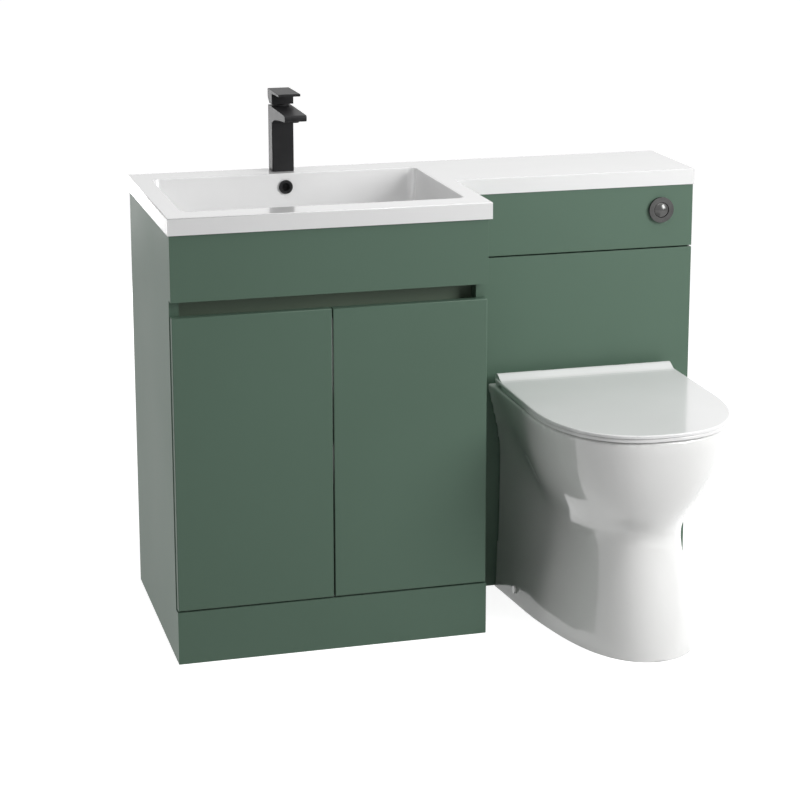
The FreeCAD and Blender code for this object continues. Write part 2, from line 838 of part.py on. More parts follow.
nut = rod("dims.waste_nut_radius", "dims.waste_nut_depth", NUT_AT)
nut_bore = rod("dims.waste_tube_radius + dims.thread_fit", "dims.waste_nut_depth", NUT_AT)
keep(cut(nut, [nut_bore]), "waste_nut")
plug_z = FLOOR + " + dims.waste_flange_depth + dims.face_fit"
keep(
    joined([
        rod("dims.plug_radius", "dims.plug_thickness", DRAIN + (plug_z,)),
        rod(
            "dims.plug_stem_radius",
            "dims.plug_stem_length",
            DRAIN + (plug_z + " - dims.plug_stem_length",),
        ),
    ]),
    "waste_plug",
)
TRAP_NECK = "lay.trap_top - dims.trap_nut_length"
TRAP_LOW = TRAP_NECK + " - dims.trap_length"
OUTLET = DRAIN + ("lay.trap_outlet",)
SPIGOT_Y = "lay.wall - dims.trap_wall_gap - dims.trap_spigot"
trap = joined([
    rod("dims.trap_radius", "dims.trap_length", DRAIN + (TRAP_LOW,)),
    rod("dims.trap_nut_radius", "dims.trap_nut_length + dims.trap_collar_overlap", DRAIN + (TRAP_NECK,)),
    rod("dims.trap_outlet_radius - dims.trap_relief", SPIGOT_Y + " - lay.bowl_y", OUTLET, "y"),
    rod("dims.trap_outlet_radius", "dims.trap_spigot", ("lay.bowl_x", SPIGOT_Y, "lay.trap_outlet"), "y"),
])
trap_hollow = [
    rod(
        "dims.trap_radius - dims.trap_wall",
        "dims.trap_length - 2 * dims.trap_wall",
        DRAIN + (TRAP_LOW + " + dims.trap_wall",),
    ),
    rod(
        "dims.waste_tube_radius + dims.thread_fit",
        "dims.trap_nut_length + dims.trap_collar_overlap + dims.trap_wall",
        DRAIN + (TRAP_NECK + " - dims.trap_wall",),
    ),
    rod("dims.trap_outlet_bore", "lay.wall - lay.bowl_y", OUTLET, "y"),
]
keep(cut(trap, trap_hollow), "bottle_trap")

# basin mixer: square column with a wedge spout, gasket, shank and back nut
mixer = doc.addObject("PartDesign::Body", "mixer")
place(mixer, "lay.tap_x - dims.tap_wide / 2", "lay.tap_y - dims.spout_reach", "lay.top + dims.tap_gasket")
COLUMN_Y = "dims.spout_reach - dims.tap_deep / 2"
SPOUT_MID = "(%s) * dims.spout_mid_share" % COLUMN_Y
SPOUT_NECK = "(%s) * dims.spout_neck_share" % COLUMN_Y
mixer_sketch = profile(mixer, "YZ_Plane", [
    (COLUMN_Y, "0"),
    (COLUMN_Y + " + dims.tap_deep", "0"),
    (COLUMN_Y + " + dims.tap_deep", "dims.tap_height"),
    (COLUMN_Y, "dims.tap_height"),
    ("0", "dims.tap_height - dims.spout_drop"),
    ("0", "dims.tap_height - dims.spout_drop - dims.spout_tip"),
    (SPOUT_MID, "dims.tap_height - dims.spout_drop - dims.spout_tip - dims.spout_mid_drop"),
    (SPOUT_NECK, "dims.tap_height - dims.spout_root + dims.spout_neck_rise"),
    (COLUMN_Y, "dims.tap_height - dims.spout_root - dims.spout_root_drop"),
])
mixer_pad = pad(mixer, mixer_sketch, "dims.tap_wide")
tip_round = fillet(
    mixer,
    mixer_pad,
    lambda p, e: p.y < NEAR and abs(e.Length - d("tap_wide")) < NEAR,
    "dims.spout_tip_round",
    "spout_tip",
)


def is_column_edge(p, e):
    return e.BoundBox.ZLength > d("tap_height") / 2 and abs(p.x - d("tap_wide") / 2) > NEAR


fillet(mixer, tip_round, is_column_edge, "dims.tap_round", "column_edge")
NOZZLE = (
    "lay.tap_x",
    "lay.tap_y - dims.spout_reach + dims.spout_nozzle_radius + dims.spout_nozzle_setback",
    "lay.tap_top - dims.spout_drop - dims.spout_tip - dims.spout_nozzle_length",
)
nozzle = rod("dims.spout_nozzle_radius", "dims.spout_nozzle_length + dims.spout_nozzle_root", NOZZLE)
nozzle_bore = rod("dims.spout_nozzle_radius - dims.spout_nozzle_wall", "dims.spout_bore_depth", NOZZLE)
STEM_LOW = "lay.tap_top - dims.stem_depth"
stem_bore = rod(
    "dims.stem_radius + dims.lever_fit",
    "dims.stem_depth + 2 * dims.stem_room",
    TAP + (STEM_LOW + " - dims.stem_room",),
)
keep(cut(joined([mixer, nozzle]), [nozzle_bore, stem_bore], "mixer_cut"), "tap_body")
gasket = box(
    (
        "dims.tap_wide - 2 * dims.gasket_inset",
        "dims.tap_deep - 2 * dims.gasket_inset",
        "dims.tap_gasket",
    ),
    (
        "lay.tap_x - dims.tap_wide / 2 + dims.gasket_inset",
        "lay.tap_y - dims.tap_deep / 2 + dims.gasket_inset",
        "lay.top",
    ),
)
shank_hole = rod("dims.tap_shank_radius + dims.shank_fit", "dims.tap_gasket", TAP + ("lay.top",))
keep(cut(gasket, [shank_hole]), "tap_gasket")
SHANK_LOW = "lay.top + dims.tap_gasket - dims.tap_shank_length"
keep(rod("dims.tap_shank_radius", "dims.tap_shank_length", TAP + (SHANK_LOW,)), "tap_shank")
TAP_NUT = TAP + ("dims.cabinet_height - dims.tap_nut_depth",)
tap_nut = rod("dims.tap_nut_radius", "dims.tap_nut_depth", TAP_NUT)
tap_nut_bore = rod("dims.tap_shank_radius + dims.thread_fit", "dims.tap_nut_depth", TAP_NUT)
keep(cut(tap_nut, [tap_nut_bore]), "tap_back_nut")

# mixer control: stem that turns in the column, and the lever that tips on its cross pin
PIVOT_Z = "lay.tap_top + dims.neck_height + dims.lever_pivot_up"
STEM_X = "lay.tap_x - dims.stem_width / 2"
STEM_EYE = (STEM_X, "lay.tap_y", PIVOT_Z)
NECK = "dims.neck_height - dims.neck_gap"
stem = joined([
    rod("dims.stem_radius", "dims.stem_depth + " + NECK, TAP + (STEM_LOW,)),
    rod("dims.neck_radius", NECK, TAP + ("lay.tap_top + dims.neck_seat",)),
    box(
        ("dims.stem_width", "dims.stem_width", "dims.neck_height + dims.lever_pivot_up"),
        (STEM_X, "lay.tap_y - dims.stem_width / 2", "lay.tap_top"),
    ),
    rod("dims.stem_width / 2", "dims.stem_width", STEM_EYE, "x"),
])
PIN_HALF = "(dims.tap_wide / 2 - dims.lever_pin_inset)"
PIN_BORE = "dims.lever_pin_radius + dims.lever_fit"
keep(cut(stem, [rod(PIN_BORE, "dims.stem_width", STEM_EYE, "x")]), "tap_stem")
keep(
    rod("dims.lever_pin_radius", "2 * " + PIN_HALF, ("lay.tap_x - " + PIN_HALF, "lay.tap_y", PIVOT_Z), "x"),
    "lever_pin",
)
lever = doc.addObject("PartDesign::Body", "lever")
LEVER_LOW = "lay.tap_top + dims.neck_height"
place(lever, "lay.tap_x - dims.tap_wide / 2", "lay.tap_y - dims.lever_reach + dims.tap_deep / 2", LEVER_LOW)
FRONT = "dims.lever_reach - dims.tap_deep"
REAR = "dims.lever_reach"
lever_sketch = profile(lever, "YZ_Plane", [
    (FRONT, "0"),
    (REAR + " - dims.lever_heel_run", "0"),
    (REAR, "dims.lever_heel_rise"),
    (REAR, "dims.lever_block + dims.lever_plate"),
    ("0", "dims.lever_block + dims.lever_plate"),
    ("0", "dims.lever_block + dims.lever_tip_rise"),
    (FRONT, "dims.lever_block"),
])
lever_pad = pad(lever, lever_sketch, "dims.tap_wide")


def is_lever_edge(p, e):
    return p.z > d("lever_block") + d("lever_plate") - NEAR and e.BoundBox.YLength > d("lever_reach") / 2


fillet(lever, lever_pad, is_lever_edge, "dims.lever_edge_round", "lever_edge")
lever_room = box(
    (
        "dims.stem_width + 2 * dims.lever_side_clear",
        "dims.tap_deep - 2 * dims.lever_room_wall",
        "dims.lever_pivot_up + dims.stem_width / 2 + dims.lever_head_clear",
    ),
    (STEM_X + " - dims.lever_side_clear", "lay.tap_y - dims.tap_deep / 2 + dims.lever_room_wall", LEVER_LOW),
)
HOLE_HALF = "(%s + dims.lever_pin_play)" % PIN_HALF
lever_hole = rod(PIN_BORE, "2 * " + HOLE_HALF, ("lay.tap_x - " + HOLE_HALF, "lay.tap_y", PIVOT_Z), "x")
keep(cut(lever, [lever_room, lever_hole], "lever_cut"), "tap_lever")

# push button: collar screwed through the panel, nut behind, sprung domed button and air chamber
COLLAR_TUBE = "dims.board + dims.button_nut_depth + dims.collar_tail"
collar = joined([
    rod("dims.collar_radius", "dims.collar_depth", BUTTON, "-y"),
    rod("dims.collar_tube_radius", COLLAR_TUBE, BUTTON, "y"),
])
collar_bore = rod(
    "dims.button_radius + dims.button_clear",
    "dims.board + dims.button_nut_depth + dims.collar_depth",
    ("lay.button_x", "lay.wc_face - dims.collar_depth", "dims.button_height"),
    "y",
)
keep(cut(collar, [collar_bore]), "button_collar")
NUT_BACK = ("lay.button_x", "lay.wc_back", "dims.button_height")
button_nut = rod("dims.button_nut_radius", "dims.button_nut_depth", NUT_BACK, "y")
button_nut_bore = rod("dims.collar_tube_radius + dims.thread_fit", "dims.button_nut_depth", NUT_BACK, "y")
keep(cut(button_nut, [button_nut_bore]), "button_nut")

dome = doc.addObject("Part::Feature", "dome")
r, rise = d("button_radius"), d("button_dome")
shoulder = d("collar_depth") - d("button_seat")
ball = (r * r + rise * rise) / (2 * rise)
button_low = V(0, 0, -d("button_length"))
cap = Part.makeSphere(ball, V(0, 0, shoulder + rise - ball))
shaft = Part.makeCylinder(r, d("button_length") + shoulder, button_low)
limit = Part.makeCylinder(r, d("button_length") + shoulder + rise, button_low)
dome.Shape = limit.common(cap.fuse(shaft))
dome.Placement = FreeCAD.Placement(V(d("button_x"), d("wc_face"), d("button_height")), TURN["-y"])
keep(dome, "flush_button")

# concealed cistern: tank on the rail, lid, flush valve and pipe, fill valve with its float
TANK_X = "lay.pan - lay.tank_length / 2"
TANK_FRONT = "lay.tank_back - dims.tank_width"
W = "dims.tank_wall"
tank = box(
    ("lay.tank_length", "dims.tank_width", "dims.tank_height"),
    (TANK_X, TANK_FRONT, "dims.tank_base"),
)
tank_room = box(
    ("lay.tank_length - 2 * " + W, "dims.tank_width - 2 * " + W, "dims.tank_height"),
    (TANK_X + " + " + W, TANK_FRONT + " + " + W, "dims.tank_base + " + W),
)
FLUSH = ("lay.pan", "lay.tank_y")
FILL = (TANK_X + " + dims.fill_from_side", "lay.tank_y")
flush_hole = rod("dims.flush_radius + dims.flush_hole_room", W, FLUSH + ("dims.tank_base",))
fill_hole = rod("dims.fill_tail_radius + dims.fill_fit", W, FILL + ("dims.tank_base",))
keep(cut(tank, [tank_room, flush_hole, fill_hole]), "cistern_tank")
TANK_TOP = "dims.tank_base + dims.tank_height"
lid_plate = box(
    ("lay.tank_length + 2 * dims.tank_lid_side", "dims.tank_width + dims.tank_lid_front", "dims.tank_lid"),
    (TANK_X + " - dims.tank_lid_side", TANK_FRONT + " - dims.tank_lid_front", TANK_TOP),
)
lid_room = box(
    (
        "lay.tank_length - 2 * dims.tank_lid_wall",
        "dims.tank_width - 2 * dims.tank_lid_wall",
        "dims.tank_lid - dims.tank_lid_top",
    ),
    (TANK_X + " + dims.tank_lid_wall", TANK_FRONT + " + dims.tank_lid_wall", TANK_TOP),
)
keep(cut(lid_plate, [lid_room]), "cistern_lid")
VALVE_LOW = "dims.tank_base + %s - dims.valve_tail" % W
valve = joined([
    rod("dims.valve_radius", "dims.valve_height", FLUSH + ("dims.tank_base + " + W,)),
    rod("dims.flush_radius", "dims.valve_tail", FLUSH + (VALVE_LOW,)),
])
valve_bore = rod("dims.flush_bore", "dims.valve_height", FLUSH + (VALVE_LOW,))
keep(cut(valve, [valve_bore]), "flush_valve")
VALVE_NUT = FLUSH + ("dims.tank_base - dims.valve_nut_depth",)
valve_nut = rod("dims.valve_nut_radius", "dims.valve_nut_depth", VALVE_NUT)
valve_nut_bore = rod("dims.flush_radius + dims.thread_fit", "dims.valve_nut_depth", VALVE_NUT)
keep(cut(valve_nut, [valve_nut_bore]), "flush_valve_nut")
TAIL_LOW = "dims.tank_base - dims.fill_tail_length"
fill = joined([
    rod("dims.fill_radius", "dims.fill_height", FILL + ("dims.tank_base + " + W,)),
    rod("dims.fill_tail_radius", "dims.fill_tail_length - dims.fill_tail_step", FILL + (TAIL_LOW,)),
    rod(
        "dims.fill_tail_radius - dims.fill_relief",
        "dims.fill_relief_length + " + W,
        FILL + ("dims.tank_base - dims.fill_relief_length",),
    ),
])
fill_bore = rod("dims.fill_bore", "dims.fill_tail_length + dims.fill_bore_past", FILL + (TAIL_LOW,))
keep(cut(fill, [fill_bore]), "fill_valve")
FLOAT = FILL + ("dims.tank_base + dims.float_rest",)
buoy = rod("dims.float_radius", "dims.float_height", FLOAT)
buoy_bore = rod("dims.fill_radius + dims.float_clear", "dims.float_height", FLOAT)
keep(cut(buoy, [buoy_bore]), "fill_float")


def swept_tube(points, bend, outer, inner):
    """A bent tube through three points, with one bend of the given centre-line radius."""
    a, b, c = points
    u, w = (a - b).normalize(), (c - b).normalize()
    p, q = b + u * bend, b + w * bend
    mid = b + (u + w) * bend - (u + w).normalize() * bend
    path = Part.Wire([Part.makeLine(a, p), Part.Arc(p, mid, q).toShape(), Part.makeLine(q, c)])
    rings = [Part.Wire(Part.makeCircle(x, a, (b - a))) for x in (outer, inner)]
    tubes = [path.makePipeShell([ring], True, True) for ring in rings]
    return tubes[0].cut(tubes[1])


pipe = doc.addObject("Part::Feature", "pipe")
socket = d("tank_base") + d("tank_wall") - d("valve_tail")
pipe.Shape = swept_tube(
    [
        V(d("pan"), d("tank_y"), socket - d("face_fit")),
        V(d("pan"), d("tank_y"), d("flush_inlet_height")),
        V(d("pan"), d("wc_face") - d("flush_entry"), d("flush_inlet_height")),
    ],
    d("flush_bend"),
    d("flush_radius"),
    d("flush_bore"),
)
keep(pipe, "flush_pipe")


# toilet pan: foot and bowl lofted through D-shaped outlines, hollowed from above and below
def outline(z, rear, side, straight, front, bow, inset=0, back=0):
    """A closed D: straight rear edge, sides that taper from rear to side, and a full round front."""
    pts = []
    count = 14
    rear, side, front = rear - inset, side - inset, front - inset
    for i in range(4):
        k = i / 4
        pts.append((rear + (side - rear) * k, back + (straight - back) * k))
    for i in range(count):
        a = math.pi / 2 * i / count
        x = side * math.cos(a) ** (2 / bow)
        y = straight + (front - straight) * math.sin(a) ** (2 / bow)
        pts.append((x, y))
    right = [V(x, -y, z) for x, y in pts]
    left = [V(-x, -y, z) for x, y in reversed(pts)]
    curve = Part.BSplineCurve()
    curve.interpolate(right + [V(0, -front, z)] + left)
    return Part.Wire([curve.toShape(), Part.makeLine(left[-1], right[0])])


def loft(rows, inset=0, back=0):
    return Part.makeLoft([outline(*row, inset, back) for row in rows], True, False)


def oval(z, half, centre, front, back):
    """A closed smooth oval, longer towards the front than towards the back."""
    pts = []
    count = 24
    for i in range(count):
        a = 2 * math.pi * i / count
        reach = (front - centre) if math.sin(a) > 0 else (centre - back)
        pts.append(V(half * math.cos(a), -(centre + reach * math.sin(a)), z))
    curve = Part.BSplineCurve()
    curve.interpolate(pts, True)
    return Part.Wire([curve.toShape()])


def along_y(radius, start, end, z):
    return Part.makeCylinder(radius, end - start, V(0, start, z), V(0, 1, 0))


def section_rows(start, table, sizes):
    return [tuple(d(name + "_" + size) for size in sizes) for name in table if name.startswith(start)]


def raised(rows, floor, ceiling):
    """The same rows with their lowest and highest levels changed."""
    return [(floor, *rows[0][1:])] + rows[1:-1] + [(ceiling, *rows[-1][1:])]


rim, wall = d("pan_rim"), d("pan_wall")
foot_rows = section_rows("foot", SECTIONS, SECTION_SIZES)
belly_rows = section_rows("belly", SECTIONS, SECTION_SIZES)
bowl_rows = section_rows("bowl", HOLLOWS, HOLLOW_SIZES)
skin_rows = [
    (z if z > rim else z - wall, half + wall, centre, front + wall, back - wall)
    for z, half, centre, front, back in bowl_rows
]
bowl_room = Part.makeLoft([oval(*row) for row in bowl_rows], True, False)
bowl_skin = Part.makeLoft([oval(*row) for row in skin_rows], True, False)
ceiling = rim - d("deck_thickness")
foot_room = loft(raised(foot_rows, -d("drill_over"), ceiling), wall, -d("drill_over"))
belly_room = loft(raised(belly_rows, belly_rows[0][0], ceiling), wall, -d("drill_over"))

outlet_z, inlet_z = d("outlet_height"), d("flush_inlet_height")
sump_y = -d("bowl_sump_centre")
spigot_start = d("board") + d("outlet_step")
outlet = along_y(d("outlet_radius") - d("outlet_relief"), sump_y, spigot_start, outlet_z)
outlet = outlet.fuse(along_y(d("outlet_radius"), spigot_start, d("outlet_length"), outlet_z))
trapway = along_y(d("outlet_bore"), sump_y, d("outlet_length"), outlet_z)
inlet_end = -d("bowl_rim_back") - d("inlet_reach")
inlet_wall = along_y(d("flush_radius") + wall, inlet_end, -d("pan_clear"), inlet_z)
inlet = along_y(d("flush_radius") + d("flush_fit"), inlet_end, 0, inlet_z)
reach = 2 * d("lid_front")
behind = Part.makeBox(reach, reach, reach, V(-reach / 2, -d("pan_clear"), -d("drill_over")))
skirt_room = foot_room.fuse(belly_room).cut(bowl_skin).cut(outlet).cut(inlet_wall)
shell = loft(foot_rows).fuse(loft(belly_rows)).cut(behind).cut(skirt_room)
shell = shell.fuse(outlet.cut(bowl_room)).cut(bowl_room).cut(trapway).cut(inlet)
for sign in (-1, 1):
    spot = V(sign * d("post_at"), -d("hinge_from_panel"), ceiling - d("drill_over"))
    depth = d("deck_thickness") + 2 * d("drill_over")
    shell = shell.cut(Part.makeCylinder(d("bolt_radius") + d("bolt_fit"), depth, spot))
    out = V(sign, 0, 0)
    spot = V(sign * d("bracket_at"), -d("bracket_from_panel"), d("bracket_screw"))
    length = d("bracket_at")
    shell = shell.cut(Part.makeCylinder(d("screw_radius") + d("screw_fit"), length, spot, out))
    cap_spot = spot + out * d("cap_seat")
    shell = shell.cut(Part.makeCylinder(d("cap_radius") + d("cap_fit"), length, cap_spot, out))
pan = doc.addObject("Part::Feature", "pan")
pan.Shape = shell.removeSplitter()
HERE = FreeCAD.Placement(V(d("pan"), d("wc_face"), 0), FreeCAD.Rotation())
pan.Placement = HERE
keep(pan, "toilet_pan")


# seat and lid: two D-shaped plates on one hinge line, the lid with a rounded ridge over the hinges
def hinge_rod(radius, low, high):
    return Part.makeCylinder(radius, high - low, V(low, -d("hinge_from_panel"), d("axis_z")), V(1, 0, 0))


def plate(row, thickness, back, edge):
    """A flat D with its upper edge rounded everywhere but at the hinge."""
    face = Part.Face(outline(*row, 0, back))
    slab = face.extrude(V(0, 0, thickness))
    top = row[0] + thickness
    edges = [e for e in slab.Edges if e.BoundBox.ZMin > top - NEAR and e.BoundBox.YLength > d("lid_straight")]
    return slab.makeFillet(edge, edges)


def prism(points, low, high):
    wire = Part.makePolygon([V(low, y, z) for y, z in points + points[:1]])
    return Part.Face(wire).extrude(V(high - low, 0, 0))


axis_y, axis_z = -d("hinge_from_panel"), d("axis_z")
pin_bore = d("pin_radius") + d("pin_fit")
half = d("ridge_half")
lid_low, lid_top = d("lid_z"), d("lid_z") + d("lid_thickness")
ridge_top = axis_z + d("ridge_radius")
lid_row = (lid_low, d("lid_half"), d("lid_half"), d("lid_straight"), d("lid_front"), d("lid_bow"))
lid = plate(lid_row, d("lid_thickness"), d("hinge_from_panel"), d("lid_round"))
run = d("ridge_run")
ramp = prism(
    [
        (axis_y, lid_low),
        (axis_y, ridge_top),
        (axis_y - d("ridge_crown"), ridge_top - d("ridge_crown_drop")),
        (axis_y - run * d("ridge_slope_share"), lid_top + d("ridge_slope_rise")),
        (axis_y - run * d("ridge_toe_share"), lid_top + d("ridge_toe_rise")),
        (axis_y - run - d("ridge_tail"), lid_top - d("ridge_tail_drop")),
        (axis_y - run - d("ridge_tail"), lid_low),
    ],
    -half,
    half,
)
lug_out = d("post_at") + d("post_width") / 2 + d("side_clear") + d("lug_width")
lug_in = lug_out - d("lug_width")
room = lug_out + d("side_clear") / 2
lid = lid.fuse(hinge_rod(d("ridge_radius"), -half, half)).fuse(ramp)
hollow = hinge_rod(d("ridge_hollow"), -room, room)
under_at = V(-room, axis_y - d("ridge_radius"), rim)
under_room = Part.makeBox(2 * room, d("post_notch_deep"), axis_z - rim, under_at)
lid = lid.cut(hollow).cut(under_room)
for sign in (-1, 1):
    middle = sign * d("post_at")
    notch, deep = d("post_width") / 2 + d("side_clear") + d("post_notch"), d("post_notch_deep")
    lid = lid.cut(Part.makeBox(2 * notch, deep, 2 * deep, V(middle - notch, axis_y, axis_z - deep)))
    low, high = sorted((sign * (room - d("pin_setback")), sign * (room + d("pin_in_lid"))))
    lid = lid.cut(hinge_rod(pin_bore, low, high))
cover = doc.addObject("Part::Feature", "cover")
cover.Shape = lid.removeSplitter()
cover.Placement = HERE
keep(cover, "toilet_lid")

seat_low = d("seat_z")
inset = d("seat_inset")
seat_half = d("lid_half") - inset
seat_row = (seat_low, seat_half, seat_half, d("lid_straight"), d("lid_front") - inset, d("lid_bow"))
seat = plate(seat_row, d("seat_thickness"), d("seat_back"), d("lid_round"))
hole_mid = (d("seat_hole_back") + d("seat_hole_front")) / 2
hole = oval(seat_low, d("seat_hole_half"), hole_mid, d("seat_hole_front"), d("seat_hole_back"))
seat = seat.cut(Part.Face(hole).extrude(V(0, 0, d("seat_thickness"))))
seat_top = seat_low + d("seat_thickness")
for sign in (-1, 1):
    low, high = sorted((sign * lug_in, sign * lug_out))
    lug = prism(
        [
            (-d("seat_back") - d("lug_root"), seat_low),
            (-d("seat_back") - d("lug_root"), seat_top),
            (axis_y - d("lug_foot"), seat_top),
            (axis_y - d("lug_top_run"), axis_z + d("lug_top_rise")),
            (axis_y, axis_z + d("lug_top_rise")),
            (axis_y, axis_z - d("lug_heel_drop")),
            (axis_y - d("lug_heel_run"), seat_low),
        ],
        low,
        high,
    )
    lug = lug.fuse(hinge_rod(d("lug_radius"), low, high))
    seat = seat.fuse(lug).cut(hinge_rod(pin_bore, low, high))
ring = doc.addObject("Part::Feature", "ring_seat")
ring.Shape = seat.removeSplitter()
ring.Placement = HERE
keep(ring, "toilet_seat")

posts, pins = [], []
for sign in (-1, 1):
    middle = sign * d("post_at")
    wide = d("post_width")
    head = hinge_rod(d("post_radius"), middle - wide / 2, middle + wide / 2)
    edge = middle - wide / 2
    neck = Part.makeBox(wide, d("neck_deep"), d("hinge_up"), V(edge, axis_y - d("neck_deep") / 2, rim))
    foot = Part.makeBox(wide, d("foot_deep"), d("foot_thick"), V(edge, axis_y - d("foot_deep") / 2, rim))
    bolt = Part.makeCylinder(d("bolt_radius"), d("bolt_length"), V(middle, axis_y, rim - d("bolt_drop")))
    bore = hinge_rod(pin_bore, edge, edge + wide)
    posts.append(head.fuse(neck).fuse(foot).fuse(bolt).cut(bore).removeSplitter())
    start = d("post_at") - wide / 2 + d("pin_setback")
    low, high = sorted((sign * start, sign * (start + d("pin_length"))))
    pins.append(hinge_rod(d("pin_radius"), low, high))
for label, shapes in (("seat_hinge_posts", posts), ("seat_hinge_pins", pins)):
    obj = doc.addObject("Part::Feature", label + "_set")
    obj.Shape = Part.makeCompound(shapes)
    obj.Placement = HERE
    keep(obj, label)

SEAT_TOP = "lay.seat_z + dims.seat_thickness"
seat_pads, lid_pads = [], []
for sign in ("-", "+"):
    for where in ("rear", "front"):
        x = "lay.pan %s dims.buffer_%s_share * dims.lid_half" % (sign, where)
        spot = (x, "lay.wc_face - dims.buffer_" + where, "dims.pan_rim + dims.buffer_fit")
        seat_pads.append(rod("dims.buffer_radius", "dims.seat_gap - dims.buffer_fit", spot))
    x = "lay.pan %s dims.buffer_rear_share * dims.lid_half" % sign
    spot = (x, "lay.wc_face - dims.lid_buffer_ahead", SEAT_TOP + " + dims.buffer_fit")
    lid_pads.append(rod("dims.lid_buffer_radius", "dims.lid_gap - dims.buffer_fit", spot))
keep(group(seat_pads), "seat_buffers")
keep(group(lid_pads), "lid_buffers")

# floor brackets inside the pan's foot, and the capped side screws that hold the pan to them
brackets, screws = [], []
for sign in (-1, 1):
    leg, sheet = d("bracket_leg"), d("bracket_sheet")
    at = d("bracket_at")
    low = -d("bracket_from_panel") - leg / 2
    upright_x = sorted((sign * at, sign * (at - sheet)))[0]
    sole_x = sorted((sign * at, sign * (at - leg)))[0]
    upright = Part.makeBox(sheet, leg, leg, V(upright_x, low, 0))
    sole = Part.makeBox(leg, leg, sheet, V(sole_x, low, 0))
    out = V(sign, 0, 0)
    spot = V(sign * (at - sheet), -d("bracket_from_panel"), d("bracket_screw"))
    drill = Part.makeCylinder(d("screw_radius") + d("bracket_fit"), sheet, spot, out)
    brackets.append(upright.fuse(sole).cut(drill).removeSplitter())
    length = d("cap_seat") + sheet
    shaft = Part.makeCylinder(d("screw_radius"), length, spot, out)
    cap = Part.makeCylinder(d("cap_radius"), d("cap_depth"), spot + out * length, out)
    screws.append(shaft.fuse(cap).removeSplitter())
seat_nuts = []
for sign in (-1, 1):
    spot = V(sign * d("post_at"), -d("hinge_from_panel"), ceiling - d("seat_nut_depth"))
    nut_body = Part.makeCylinder(d("seat_nut_radius"), d("seat_nut_depth"), spot)
    thread = Part.makeCylinder(d("bolt_radius") + d("bolt_thread_fit"), d("seat_nut_depth"), spot)
    seat_nuts.append(nut_body.cut(thread))
for label, shapes in (("pan_brackets", brackets), ("pan_screws", screws), ("seat_nuts", seat_nuts)):
    obj = doc.addObject("Part::Feature", label + "_set")
    obj.Shape = Part.makeCompound(shapes)
    obj.Placement = HERE
    keep(obj, label)

doc.recompute()
faults = [o.Name for o in doc.Objects if "Invalid" in o.State or "Error" in o.State]
for obj in nodes:
    if obj.Shape.isNull() or not obj.Shape.isValid():
        faults.append(obj.Label)
if faults:
    raise RuntimeError("faulty objects: " + ", ".join(faults))

os.makedirs("parts", exist_ok=True)
for obj in nodes:
    obj.Shape.exportStep("parts/%s.step" % obj.Label)
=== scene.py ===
import math

import bmesh
import bpy
import numpy as np
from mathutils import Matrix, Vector


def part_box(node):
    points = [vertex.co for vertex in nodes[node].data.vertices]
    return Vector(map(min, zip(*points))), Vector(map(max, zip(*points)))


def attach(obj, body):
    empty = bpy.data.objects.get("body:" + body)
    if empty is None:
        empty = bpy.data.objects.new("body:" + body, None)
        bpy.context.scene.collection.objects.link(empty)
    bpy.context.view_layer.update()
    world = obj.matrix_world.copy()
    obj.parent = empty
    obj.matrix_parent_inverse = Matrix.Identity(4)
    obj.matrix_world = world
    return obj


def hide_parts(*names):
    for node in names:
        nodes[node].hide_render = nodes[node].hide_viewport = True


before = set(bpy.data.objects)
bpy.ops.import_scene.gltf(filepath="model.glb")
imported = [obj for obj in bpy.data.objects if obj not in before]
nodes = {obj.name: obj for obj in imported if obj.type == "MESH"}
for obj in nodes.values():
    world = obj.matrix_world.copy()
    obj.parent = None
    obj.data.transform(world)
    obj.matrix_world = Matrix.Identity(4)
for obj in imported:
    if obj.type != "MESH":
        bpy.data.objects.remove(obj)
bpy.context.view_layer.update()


# Cupboard and toilet unit boards: moisture-proof board, sawn to size and sprayed in one satin sage green.
# The sides, plinth, fascia and front panels are dowelled and glued; their edges are eased by sanding.
SAGE_DEEP = (0.089, 0.147, 0.107, 1)
SAGE_PALE = (0.094, 0.155, 0.114, 1)
TINT_SPAN = (0.3, 0.7)
CLOUD_DETAIL = 3
GRAIN_DETAIL = 2
SHEEN_WANDER = 0.12
GRAIN_STRENGTH = 0.35
COAT_ROUGHNESS = 0.07
EASED_EDGE = 0.0008
EDGE_STEPS = 3
SHARP_CORNER = math.radians(50)
SEAM = 0.000005


